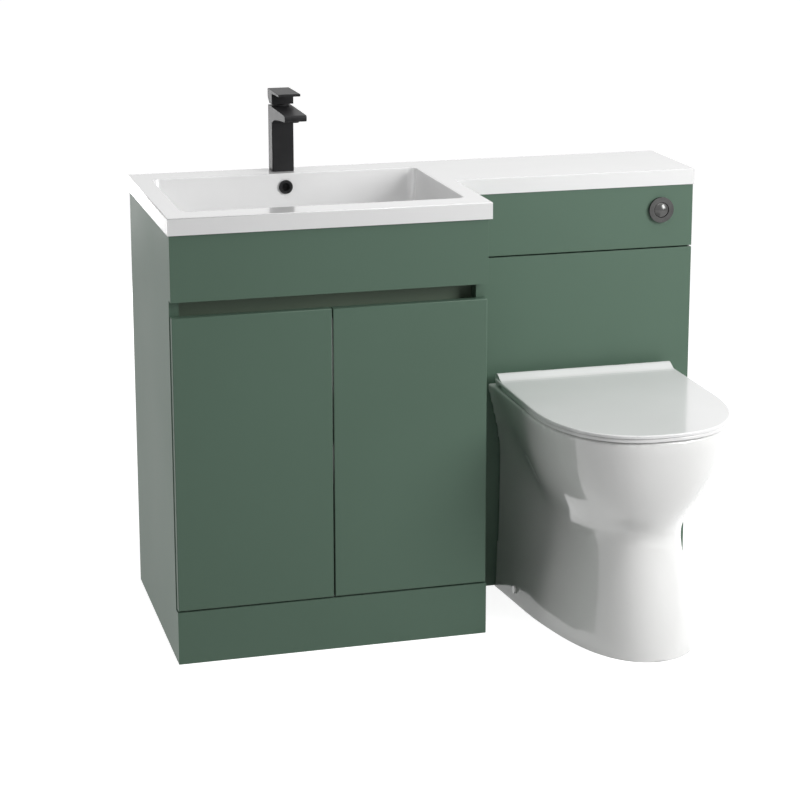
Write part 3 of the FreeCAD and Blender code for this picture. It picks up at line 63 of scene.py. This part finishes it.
def surface(
    name,
    deep,
    pale,
    rough,
    metal=0.0,
    cloud=4.0,
    grain=700.0,
    depth=0.00006,
    gloss=0.5,
    coat=0.0,
    stretch=(1, 1, 1),
):
    """A procedural finish: two close tints in soft clouds, a wandering roughness and a fine grain."""
    material = bpy.data.materials.new(name)
    material.use_nodes = True
    tree = material.node_tree
    bsdf = tree.nodes["Principled BSDF"]
    place = tree.nodes.new("ShaderNodeTexCoord")
    scale = tree.nodes.new("ShaderNodeMapping")
    scale.inputs["Scale"].default_value = stretch
    tree.links.new(place.outputs["Object"], scale.inputs["Vector"])
    clouds = tree.nodes.new("ShaderNodeTexNoise")
    clouds.inputs["Scale"].default_value = cloud
    clouds.inputs["Detail"].default_value = CLOUD_DETAIL
    tints = tree.nodes.new("ShaderNodeValToRGB")
    for stop, position, tint in zip(tints.color_ramp.elements, TINT_SPAN, (deep, pale)):
        stop.position = position
        stop.color = tint
    sheen = tree.nodes.new("ShaderNodeMapRange")
    sheen.inputs["To Min"].default_value = rough * (1 - SHEEN_WANDER)
    sheen.inputs["To Max"].default_value = rough * (1 + SHEEN_WANDER)
    fine = tree.nodes.new("ShaderNodeTexNoise")
    fine.inputs["Scale"].default_value = grain
    fine.inputs["Detail"].default_value = GRAIN_DETAIL
    bump = tree.nodes.new("ShaderNodeBump")
    bump.inputs["Strength"].default_value = GRAIN_STRENGTH
    bump.inputs["Distance"].default_value = depth
    for texture in (clouds, fine):
        tree.links.new(scale.outputs["Vector"], texture.inputs["Vector"])
    tree.links.new(clouds.outputs["Fac"], tints.inputs["Fac"])
    tree.links.new(tints.outputs["Color"], bsdf.inputs["Base Color"])
    tree.links.new(clouds.outputs["Fac"], sheen.inputs["Value"])
    tree.links.new(sheen.outputs["Result"], bsdf.inputs["Roughness"])
    tree.links.new(fine.outputs["Fac"], bump.inputs["Height"])
    tree.links.new(bump.outputs["Normal"], bsdf.inputs["Normal"])
    bsdf.inputs["Metallic"].default_value = metal
    bsdf.inputs["Specular IOR Level"].default_value = gloss
    bsdf.inputs["Coat Weight"].default_value = coat
    bsdf.inputs["Coat Roughness"].default_value = COAT_ROUGHNESS
    return material


def dress(names, material, edge=0.0):
    """Gives solid pieces a finish and, where asked, a fine eased edge."""
    for name in names:
        piece = nodes[name]
        piece.data.materials.clear()
        piece.data.materials.append(material)
        weld = piece.modifiers.new("weld", "WELD")
        weld.merge_threshold = SEAM
        if edge:
            bevel = piece.modifiers.new("eased_edge", "BEVEL")
            bevel.width = edge
            bevel.segments = EDGE_STEPS
            bevel.limit_method = "ANGLE"
            bevel.angle_limit = SHARP_CORNER
            bevel.harden_normals = True


sage_paint = surface("sage_green_paint", SAGE_DEEP, SAGE_PALE, rough=0.44, cloud=2.5, grain=900, gloss=0.26)
dress(
    [
        "vanity_left_side",
        "vanity_right_side",
        "vanity_plinth",
        "vanity_fascia",
        "wc_left_side",
        "wc_right_side",
        "wc_lower_panel",
        "wc_upper_panel",
    ],
    sage_paint,
    EASED_EDGE,
)

# Inner boards: chipboard faced in pale melamine, for the cupboard's floor, shelf and the rails behind.
# The rails are screwed between the sides; the shelf lies loose on four steel pegs.
MELAMINE_DEEP = (0.60, 0.60, 0.57, 1)
MELAMINE_PALE = (0.66, 0.66, 0.63, 1)
melamine = surface("pale_melamine", MELAMINE_DEEP, MELAMINE_PALE, rough=0.5, cloud=14, grain=1400)
dress(
    ["vanity_base", "vanity_shelf", "vanity_wall_rail", "vanity_low_rail", "wc_top_rail", "wc_tank_rail"],
    melamine,
    EASED_EDGE,
)

# Grip channel: a folded profile between the sides, sprayed green; its paler, greyer tint is painted light
# that lifts the shade in the recess.
# It backs the finger gap over the doors.
CHANNEL_DEEP = (0.15, 0.205, 0.15, 1)
CHANNEL_PALE = (0.17, 0.225, 0.165, 1)
# Painted light: this tint is paler than the sage paint so that the shaded recess reads lighter.
channel_paint_with_painted_light = surface("channel_paint_with_painted_light", CHANNEL_DEEP, CHANNEL_PALE, rough=0.5, cloud=6, grain=900)
dress(["handle_channel"], channel_paint_with_painted_light)

# Doors: flat board leaves with rounded front edges, sprayed all round in the same satin green.
# Each hangs on two concealed hinges and shuts against the cupboard's sides.
dress(["left_door", "right_door"], sage_paint)

# Concealed hinges and shelf pegs: pressed and turned steel with bright nickel plating.
# The cups are let into the doors; the plates are screwed to the sides and carry the arms.
NICKEL_DEEP = (0.52, 0.52, 0.53, 1)
NICKEL_PALE = (0.62, 0.62, 0.62, 1)
BRUSHED_UPWARD = (1, 1, 14)
plated_steel = surface(
    "plated_steel",
    NICKEL_DEEP,
    NICKEL_PALE,
    rough=0.28,
    metal=1.0,
    cloud=60,
    grain=500,
    stretch=BRUSHED_UPWARD,
)
dress(
    ["left_hinge_cups", "right_hinge_cups", "left_hinge_arms", "right_hinge_arms", "shelf_pegs"],
    plated_steel,
)

# Hinge screws: plated steel with domed heads and a cross recess.
# Two hold each hinge plate to the cupboard's side and two smaller ones each cup to its door.
# The dome and the recess are given as reach and rise in head radii.
PLATE_HALF_HEIGHT = 0.023
PLATE_THICKNESS = 0.0025
PLATE_FROM_ARM_END = 0.038
PLATE_SCREW_RADIUS = 0.0036
PLATE_SCREW_SPREAD = 0.0145
CUP_FLANGE_RADIUS = 0.022
CUP_SCREW_RADIUS = 0.0019
CUP_SCREW_SPREAD = 0.0197
HEAD_SIDES = 32
DOME = [(1.0, -0.05), (0.97, 0.12), (0.74, 0.24)]
RECESS = [(1.0, 0.28), (0.85, 0.08)]
CROSS_ARM = 0.52
CROSS_NOTCH = 0.17


def screw_heads(name, body, places, axis, radius):
    """Domed heads with a cross recess, on a face that looks along the axis."""
    heads = bmesh.new()
    stand = Vector((0, 0, 1)).rotation_difference(Vector(axis)).to_matrix()
    quarter = HEAD_SIDES // 4
    arm_corners = (0, 1, quarter - 1)
    cross = [CROSS_ARM if corner % quarter in arm_corners else CROSS_NOTCH for corner in range(HEAD_SIDES)]
    even = [1.0] * HEAD_SIDES
    outlines = [(even, reach, rise) for reach, rise in DOME]
    outlines += [(cross, reach, rise) for reach, rise in RECESS]
    for place in places:
        rings = []
        for outline, reach, rise in outlines:
            ring = []
            for corner in range(HEAD_SIDES):
                turn = math.tau * corner / HEAD_SIDES
                out = radius * reach * outline[corner]
                at = Vector((out * math.cos(turn), out * math.sin(turn), radius * rise))
                ring.append(heads.verts.new(Vector(place) + stand @ at))
            rings.append(ring)
        for lower, upper in zip(rings, rings[1:]):
            for corner in range(HEAD_SIDES):
                after = (corner + 1) % HEAD_SIDES
                heads.faces.new((lower[corner], lower[after], upper[after], upper[corner]))
        heads.faces.new(rings[-1])
        heads.faces.new(rings[0][::-1])
    mesh = bpy.data.meshes.new(name)
    heads.to_mesh(mesh)
    heads.free()
    mesh.materials.append(plated_steel)
    piece = bpy.data.objects.new(name, mesh)
    bpy.context.scene.collection.objects.link(piece)
    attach(piece, body)


for hand, inward in (("left", 1), ("right", -1)):
    arm_low, arm_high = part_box(hand + "_hinge_arms")
    plate_face = arm_low[0] + PLATE_THICKNESS if inward > 0 else arm_high[0] - PLATE_THICKNESS
    plate_middles = (arm_low[2] + PLATE_HALF_HEIGHT, arm_high[2] - PLATE_HALF_HEIGHT)
    screw_heads(
        hand + "_plate_screws",
        "unit",
        [
            (plate_face, arm_high[1] - PLATE_FROM_ARM_END, middle + up * PLATE_SCREW_SPREAD)
            for middle in plate_middles
            for up in (-1, 1)
        ],
        (inward, 0, 0),
        PLATE_SCREW_RADIUS,
    )
    cup_low, cup_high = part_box(hand + "_hinge_cups")
    cup_middles = (cup_low[2] + CUP_FLANGE_RADIUS, cup_high[2] - CUP_FLANGE_RADIUS)
    screw_heads(
        hand + "_cup_screws",
        hand + "_door_leaf",
        [
            ((cup_low[0] + cup_high[0]) / 2, cup_high[1], middle + up * CUP_SCREW_SPREAD)
            for middle in cup_middles
            for up in (-1, 1)
        ],
        (0, 1, 0),
        CUP_SCREW_RADIUS,
    )

# Basin and worktop: one casting in white resin and ground mineral under a gloss gel coat.
# It is bonded to the cupboard and the toilet unit and carries the mixer.
GEL_DEEP = (0.80, 0.80, 0.80, 1)
GEL_PALE = (0.83, 0.83, 0.83, 1)
gel_coat = surface(
    "white_gel_coat", GEL_DEEP, GEL_PALE, rough=0.16, cloud=3, grain=60, depth=0.00003, coat=0.5
)
dress(["basin"], gel_coat)

# Mixer: cast brass sprayed in fine matt black, clamped through the worktop by a shank and nut.
# The lever tips on a steel pin in the turning stem; a rubber gasket lies under the column.
BLACK_DEEP = (0.020, 0.020, 0.021, 1)
BLACK_PALE = (0.028, 0.028, 0.029, 1)
SOFT_EDGE = 0.0006
matt_black = surface("matt_black", BLACK_DEEP, BLACK_PALE, rough=0.42, cloud=20, grain=1600, gloss=0.12)
dress(["tap_body", "tap_stem", "tap_lever"], matt_black, SOFT_EDGE)
RUBBER_DEEP = (0.015, 0.015, 0.015, 1)
RUBBER_PALE = (0.03, 0.03, 0.03, 1)
rubber = surface("black_rubber", RUBBER_DEEP, RUBBER_PALE, rough=0.75, cloud=40, grain=1200)
dress(["tap_gasket"], rubber)
BRASS_DEEP = (0.45, 0.33, 0.13, 1)
BRASS_PALE = (0.55, 0.42, 0.18, 1)
TURNING_MARKS = (1, 1, 10)
turned_brass = surface(
    "turned_brass", BRASS_DEEP, BRASS_PALE, rough=0.3, metal=1.0, cloud=30, grain=400, stretch=TURNING_MARKS
)
dress(["tap_shank", "tap_back_nut"], turned_brass)
dress(["lever_pin"], plated_steel)

# Spout insert: a stream former in black plastic, pressed into the spout's mouth from below.
# Its ribs stand in rings around a raised middle, with a groove outside each and a rim round them all.
SPOUT_MOUTH_FROM_TIP = 0.0185
SPOUT_MOUTH_UNDER_TOP = 0.017
INSERT_RADIUS = 0.0083
INSERT_BACK = 0.0036
INSERT_RIM_FACE = 0.0008
RIB_FACE = 0.0010
GROOVE_FLOOR = 0.0022
GROOVE_FLANK = 0.0002
GROOVE_WIDTHS = (0.0012, 0.0012, 0.0008)
FIRST_GROOVE = 0.0012
GROOVE_PITCH = 0.0026
TURNED_SIDES = 48


def turned(name, body, profile, at, axis, material):
    """A turned piece: the profile of radius and height swept about the axis."""
    mesh = bmesh.new()
    stand = Vector((0, 0, 1)).rotation_difference(Vector(axis)).to_matrix()
    rings = []
    for radius, rise in profile:
        ring = []
        for corner in range(TURNED_SIDES if radius else 1):
            turn = math.tau * corner / TURNED_SIDES
            spot = Vector((radius * math.cos(turn), radius * math.sin(turn), rise))
            ring.append(mesh.verts.new(Vector(at) + stand @ spot))
        rings.append(ring)
    for lower, upper in zip(rings, rings[1:]):
        for corner in range(TURNED_SIDES):
            after = (corner + 1) % TURNED_SIDES
            corners = [lower[corner % len(lower)], lower[after % len(lower)]]
            corners += [upper[after % len(upper)], upper[corner % len(upper)]]
            mesh.faces.new(dict.fromkeys(corners))
    bmesh.ops.recalc_face_normals(mesh, faces=mesh.faces)
    data = bpy.data.meshes.new(name)
    mesh.to_mesh(data)
    mesh.free()
    data.materials.append(material)
    piece = bpy.data.objects.new(name, data)
    bpy.context.scene.collection.objects.link(piece)
    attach(piece, body)


insert_profile = [(0.0, RIB_FACE)]
for groove, width in enumerate(GROOVE_WIDTHS):
    inner = FIRST_GROOVE + groove * GROOVE_PITCH
    outer = inner + width + 2 * GROOVE_FLANK
    outer_face = INSERT_RIM_FACE if groove == len(GROOVE_WIDTHS) - 1 else RIB_FACE
    insert_profile += [(inner, RIB_FACE), (inner + GROOVE_FLANK, GROOVE_FLOOR)]
    insert_profile += [(outer - GROOVE_FLANK, GROOVE_FLOOR), (outer, outer_face)]
insert_profile += [(INSERT_RADIUS, INSERT_RIM_FACE), (INSERT_RADIUS, INSERT_BACK), (0.0, INSERT_BACK)]
tap_low, tap_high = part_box("tap_body")
turned(
    "spout_insert",
    "unit",
    insert_profile,
    ((tap_low[0] + tap_high[0]) / 2, tap_low[1] + SPOUT_MOUTH_FROM_TIP, tap_high[2] - SPOUT_MOUTH_UNDER_TOP),
    (0, 0, 1),
    rubber,
)

# Waste, overflow ring and trap: the waste and ring are sprayed black like the mixer.
# The waste is clamped by a brass nut and hangs in a white plastic bottle trap.
dress(["waste_body", "waste_plug", "overflow_ring"], matt_black, SOFT_EDGE)
dress(["waste_nut"], turned_brass)
PLASTIC_DEEP = (0.70, 0.70, 0.69, 1)
PLASTIC_PALE = (0.75, 0.75, 0.74, 1)
white_plastic = surface("white_plastic", PLASTIC_DEEP, PLASTIC_PALE, rough=0.4, cloud=20, grain=900)
dress(["bottle_trap"], white_plastic)

# Overflow shade cup: a blind black cup that closes the ring's tail behind the bowl, as painted shade for the
# dark overflow channel inside the basin.
# It is pressed into the ring, so that only this painted shade shows through the hole.
# The cup's inside rounds from its wall to its floor; a fullness of 1 would be a plain ellipse.
SHADE_CUP_RADIUS = 0.0084
SHADE_CUP_WALL = 0.0005
SHADE_CUP_MOUTH = -0.0066
SHADE_CUP_FLOOR = -0.0016
SHADE_CUP_BACK = -0.0004
SHADE_CUP_FULLNESS = 0.8
SHADE_CUP_STEPS = 4
shade_cup_profile = []
for step in range(SHADE_CUP_STEPS + 1):
    turn = math.pi / 2 * step / SHADE_CUP_STEPS
    out = (SHADE_CUP_RADIUS - SHADE_CUP_WALL) * math.sin(turn) ** SHADE_CUP_FULLNESS
    rise = SHADE_CUP_MOUTH + (SHADE_CUP_FLOOR - SHADE_CUP_MOUTH) * math.cos(turn) ** SHADE_CUP_FULLNESS
    shade_cup_profile.append((out, rise))
shade_cup_profile += [(SHADE_CUP_RADIUS, SHADE_CUP_MOUTH), (SHADE_CUP_RADIUS, SHADE_CUP_BACK), (0.0, SHADE_CUP_BACK)]
ring_low, ring_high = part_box("overflow_ring")
# Painted shade: a black cup put behind the overflow hole where the real basin has only a shaded channel.
turned(
    "overflow_shade_cup",
    "unit",
    shade_cup_profile,
    ((ring_low[0] + ring_high[0]) / 2, ring_high[1], (ring_low[2] + ring_high[2]) / 2),
    (0, 1, 0),
    rubber,
)

# Cistern: a moulded plastic tank and lid with its valves, float and flush pipe, all in white plastic.
# The tank hangs on its rail behind the panel; the pipe pushes into the pan.
dress(
    [
        "cistern_tank",
        "cistern_lid",
        "flush_valve",
        "flush_valve_nut",
        "fill_valve",
        "fill_float",
        "flush_pipe",
        "button_nut",
    ],
    white_plastic,
)

# Push button: a turned collar and a domed button in dark plated metal.
# The collar is clamped to the upper panel by a plastic nut behind it.
GUNMETAL_DEEP = (0.085, 0.085, 0.084, 1)
GUNMETAL_PALE = (0.11, 0.11, 0.108, 1)
gunmetal = surface(
    "gunmetal", GUNMETAL_DEEP, GUNMETAL_PALE, rough=0.24, metal=1.0, cloud=30, grain=800, depth=0.00003
)
dress(["button_collar", "flush_button"], gunmetal, SOFT_EDGE)

# Toilet pan: vitreous china, slip-cast in one piece and fired with a clear gloss glaze.
# The wet clay is pared at the foot and sponged until bowl and foot melt together; the base is ground flat.
# Two capped screws hold it to steel brackets on the floor.
CHINA_DEEP = (0.80, 0.80, 0.79, 1)
CHINA_PALE = (0.83, 0.83, 0.82, 1)
CLAY_GRID = 0.005
GRINDING_WASTE = 0.07
BASE_DEPTH = 0.0005
FLAT = 0.99
# Each pair of lengths below says where a change begins and where it is full.
WAIST_HEIGHTS = (0.22, 0.33)
FOOT_HALF_WIDTH = 0.10
PARED_AT_WAIST = 0.010
PARED_AT_FLOOR = 0.006
PARED_FROM_PANEL = (0.12, 0.26)
TOE = 0.026
TOE_FROM_PANEL = (0.22, 0.40)
SPONGED_FROM_PANEL = (0.004, 0.02)
RIM_EDGE = 0.012
RIM_SPONGED = 0.1
MELTED_UNDER_RIM = (RIM_EDGE, 0.05)
MELTED_FROM_PANEL = (0.01, 0.05)
FRONT_FROM_PANEL = 0.2
NOSE_FROM_PANEL = (0.32, 0.45)
NOSE_SPARED = 0.5
OUTER_SKIN = (0.0, 0.3)
SPONGE_STROKES = 6
MELT_STROKES = 170
STROKE = 0.5
glaze = surface(
    "china_glaze", CHINA_DEEP, CHINA_PALE, rough=0.14, cloud=3, grain=30, depth=0.00004, coat=0.8
)


def ease(value, start, end):
    """Runs smoothly from 0 at start to 1 at end."""
    share = np.clip((value - start) / (end - start), 0, 1)
    return share * share * (3 - 2 * share)


def rows(items, field, width, kind=float):
    """Reads one field of all items as rows of numbers."""
    values = np.empty(len(items) * width, kind)
    items.foreach_get(field, values)
    return values.reshape(-1, width)


pan_low, pan_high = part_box("toilet_pan")
pan_axis = (pan_low[0] + pan_high[0]) / 2
floor_level = pan_low[2]
rim = pan_high[2]
panel_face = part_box("wc_lower_panel")[0][1]
clay = bmesh.new()
clay.from_mesh(nodes["toilet_pan"].data)
bmesh.ops.remove_doubles(clay, verts=clay.verts, dist=SEAM)
downward = [face for face in clay.faces if face.normal.z < -FLAT]
base = [face for face in downward if face.calc_center_median().z < floor_level + BASE_DEPTH]
waste = bmesh.ops.extrude_face_region(clay, geom=base)
lowered = [item for item in waste["geom"] if isinstance(item, bmesh.types.BMVert)]
bmesh.ops.translate(clay, verts=lowered, vec=(0, 0, -GRINDING_WASTE))
cast = bpy.data.meshes.new("clay")
clay.to_mesh(cast)
clay.free()
pan = bpy.data.objects.new("china_pan", cast)
bpy.context.scene.collection.objects.link(pan)
skin = pan.modifiers.new("skin", "REMESH")
skin.mode = "VOXEL"
skin.voxel_size = CLAY_GRID
bpy.context.view_layer.update()
cast = bpy.data.meshes.new_from_object(pan.evaluated_get(bpy.context.evaluated_depsgraph_get()))
pan.modifiers.clear()
pan.data = cast

spots = rows(cast.vertices, "co", 3)
facing = rows(cast.vertices, "normal", 3)
links = rows(cast.edges, "vertices", 2, int)
links = np.concatenate([links, links[:, ::-1]])
links = links[np.argsort(links[:, 0], kind="stable")]
first = np.searchsorted(links[:, 0], np.arange(len(spots)))
count = np.diff(np.append(first, len(links)))[:, None]

away = panel_face - spots[:, 1]
side = spots[:, 0] - pan_axis
height = spots[:, 2] - floor_level
foot = 1 - ease(height, *WAIST_HEIGHTS)
low = 1 - ease(height, 0.0, WAIST_HEIGHTS[0])
pared = (PARED_AT_WAIST + (PARED_AT_FLOOR - PARED_AT_WAIST) * low) * foot * ease(away, *PARED_FROM_PANEL)
spots[:, 0] -= pared * np.clip(side / FOOT_HALF_WIDTH, -1, 1)
spots[:, 1] -= TOE * low * ease(away, *TOE_FROM_PANEL)
under_rim = rim - spots[:, 2]
sponge = ease(away, *SPONGED_FROM_PANEL) * (RIM_SPONGED + (1 - RIM_SPONGED) * ease(under_rim, 0, RIM_EDGE))
outward = np.maximum(facing[:, 0] * np.sign(side), -facing[:, 1] * (away > FRONT_FROM_PANEL))
flank = ease(under_rim, *MELTED_UNDER_RIM) * ease(away, *MELTED_FROM_PANEL)
flank *= 1 - NOSE_SPARED * ease(away, *NOSE_FROM_PANEL)
melt = sponge * flank * ease(outward, *OUTER_SKIN)
for strokes, share in ((MELT_STROKES, melt), (SPONGE_STROKES, sponge)):
    for _ in range(strokes):
        between = np.add.reduceat(spots[links[:, 1]], first) / count
        spots += (STROKE * share)[:, None] * (between - spots)
cast.vertices.foreach_set("co", spots.ravel())

ground = bmesh.new()
ground.from_mesh(cast)
cut = bmesh.ops.bisect_plane(
    ground,
    geom=ground.verts[:] + ground.edges[:] + ground.faces[:],
    plane_co=(0, 0, floor_level),
    plane_no=(0, 0, 1),
    clear_inner=True,
)
outline = [item for item in cut["geom_cut"] if isinstance(item, bmesh.types.BMEdge)]
bmesh.ops.triangle_fill(ground, use_beauty=True, edges=outline, normal=(0, 0, -1))
for face in ground.faces:
    face.smooth = face.normal.z > -FLAT
ground.to_mesh(cast)
ground.free()
cast.materials.clear()
cast.materials.append(glaze)
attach(pan, "unit")
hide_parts("toilet_pan")
dress(["pan_screws"], glaze)
dress(["pan_brackets"], plated_steel)

# Seat and lid: pressed from white thermoset plastic, gloss, on rubber buffers.
# Both swing on steel pins in two plated posts, whose bolts are held by plastic nuts under the pan's deck.
THERMOSET_DEEP = (0.78, 0.78, 0.78, 1)
THERMOSET_PALE = (0.82, 0.82, 0.82, 1)
thermoset = surface(
    "white_thermoset", THERMOSET_DEEP, THERMOSET_PALE, rough=0.18, cloud=4, grain=80, depth=0.00002, coat=0.4
)
dress(["toilet_seat", "toilet_lid"], thermoset)
dress(["seat_buffers", "lid_buffers"], rubber)
dress(["seat_hinge_posts", "seat_hinge_pins"], plated_steel)
dress(["seat_nuts"], white_plastic)

# Studio floor: a broad sheet of pale matt paper under the object.
# It shows white to the camera and in reflections, and takes a soft shadow.
FLOOR_REACH = 14.0
FLOOR_DEEP = (0.50, 0.50, 0.50, 1)
FLOOR_PALE = (0.52, 0.52, 0.52, 1)
FLOOR_GLOW = 0.88
WHITE = (1, 1, 1, 1)


def seen_or_mirrored(tree):
    """Gives 1 for rays from the camera, off gloss or through glass, and 0 for light on the object."""
    path = tree.nodes.new("ShaderNodeLightPath")
    mirrored = tree.nodes.new("ShaderNodeMath")
    mirrored.operation = "MAXIMUM"
    tree.links.new(path.outputs["Is Glossy Ray"], mirrored.inputs[0])
    tree.links.new(path.outputs["Is Transmission Ray"], mirrored.inputs[1])
    either = tree.nodes.new("ShaderNodeMath")
    either.operation = "MAXIMUM"
    tree.links.new(path.outputs["Is Camera Ray"], either.inputs[0])
    tree.links.new(mirrored.outputs["Value"], either.inputs[1])
    return either.outputs["Value"]


floor_mesh = bpy.data.meshes.new("studio_floor")
floor_mesh.from_pydata(
    [
        (-FLOOR_REACH, -FLOOR_REACH, 0),
        (FLOOR_REACH, -FLOOR_REACH, 0),
        (FLOOR_REACH, FLOOR_REACH, 0),
        (-FLOOR_REACH, FLOOR_REACH, 0),
    ],
    [],
    [(0, 1, 2, 3)],
)
floor = bpy.data.objects.new("studio_floor", floor_mesh)
bpy.context.scene.collection.objects.link(floor)
paper = surface("floor_paper", FLOOR_DEEP, FLOOR_PALE, rough=0.9, cloud=1, grain=200)
paper_tree = paper.node_tree
glow = paper_tree.nodes.new("ShaderNodeMath")
glow.operation = "MULTIPLY"
glow.inputs[1].default_value = FLOOR_GLOW
paper_tree.links.new(seen_or_mirrored(paper_tree), glow.inputs[0])
paper_bsdf = paper_tree.nodes["Principled BSDF"]
paper_bsdf.inputs["Emission Color"].default_value = WHITE
paper_tree.links.new(glow.outputs["Value"], paper_bsdf.inputs["Emission Strength"])
floor_mesh.materials.append(paper)

# Backdrop: plain white all round, to the camera and in reflections.
# On the object itself it gives only a dim, even light.
AMBIENT = 0.14
BACKDROP = 1.0
world = bpy.data.worlds.new("studio")
bpy.context.scene.world = world
world.use_nodes = True
sky = world.node_tree
backdrop = sky.nodes["Background"]
backdrop.inputs["Color"].default_value = WHITE
level = sky.nodes.new("ShaderNodeMapRange")
level.inputs["To Min"].default_value = AMBIENT
level.inputs["To Max"].default_value = BACKDROP
sky.links.new(seen_or_mirrored(sky), level.inputs["Value"])
sky.links.new(level.outputs["Result"], backdrop.inputs["Strength"])


# Lamps: four soft boxes without colour, each a lit rectangle.
# One hangs overhead, the key stands at the front right, a weak fill at the left and another low behind.
def soft_light(name, at, towards, size, power):
    """A soft box at a place, aimed at a point, with its size in metres and its power in watts."""
    lamp = bpy.data.lights.new(name, "AREA")
    lamp.shape = "RECTANGLE"
    lamp.size, lamp.size_y = size
    lamp.energy = power
    box = bpy.data.objects.new(name, lamp)
    bpy.context.scene.collection.objects.link(box)
    box.location = at
    box.rotation_euler = (Vector(towards) - Vector(at)).to_track_quat("-Z", "Y").to_euler()


soft_light("overhead", at=(0.2, -0.3, 2.8), towards=(0.1, -0.1, 0), size=(2.4, 1.8), power=24)
soft_light("right_key", at=(1.9, -1.8, 1.75), towards=(0.2, 0, 0.5), size=(1.2, 1.6), power=66)
soft_light("left_fill", at=(-3.2, -0.6, 1.8), towards=(-0.5, 0, 0.6), size=(1.8, 2.2), power=13)
soft_light("back_fill", at=(0, 3.2, 0.5), towards=(0, 0.3, 0.5), size=(2.0, 0.7), power=16)

# Camera: a short telephoto lens at the front left, a little above the worktop, fitted to the photo's edges.
# A small shift of the frame sets the object where it stands in the photo.
FILM_WIDTH = 36
FOCAL_LENGTH = 98.93
SHIFT_ACROSS = -0.0174
SHIFT_UP = -0.15
CAMERA_PLACE = (-1.1665, -3.947, 1.599)
LEVEL_VIEW = 90
TILTED_DOWN = 12.602
TURNED_RIGHT = 15.571
camera_data = bpy.data.cameras.new("camera")
camera_data.sensor_width = FILM_WIDTH
camera_data.lens = FOCAL_LENGTH
camera_data.shift_x = SHIFT_ACROSS
camera_data.shift_y = SHIFT_UP
camera = bpy.data.objects.new("camera", camera_data)
bpy.context.scene.collection.objects.link(camera)
camera.location = CAMERA_PLACE
camera.rotation_euler = (math.radians(LEVEL_VIEW - TILTED_DOWN), 0, math.radians(-TURNED_RIGHT))
bpy.context.scene.camera = camera
bpy.context.scene.view_settings.view_transform = "Standard"
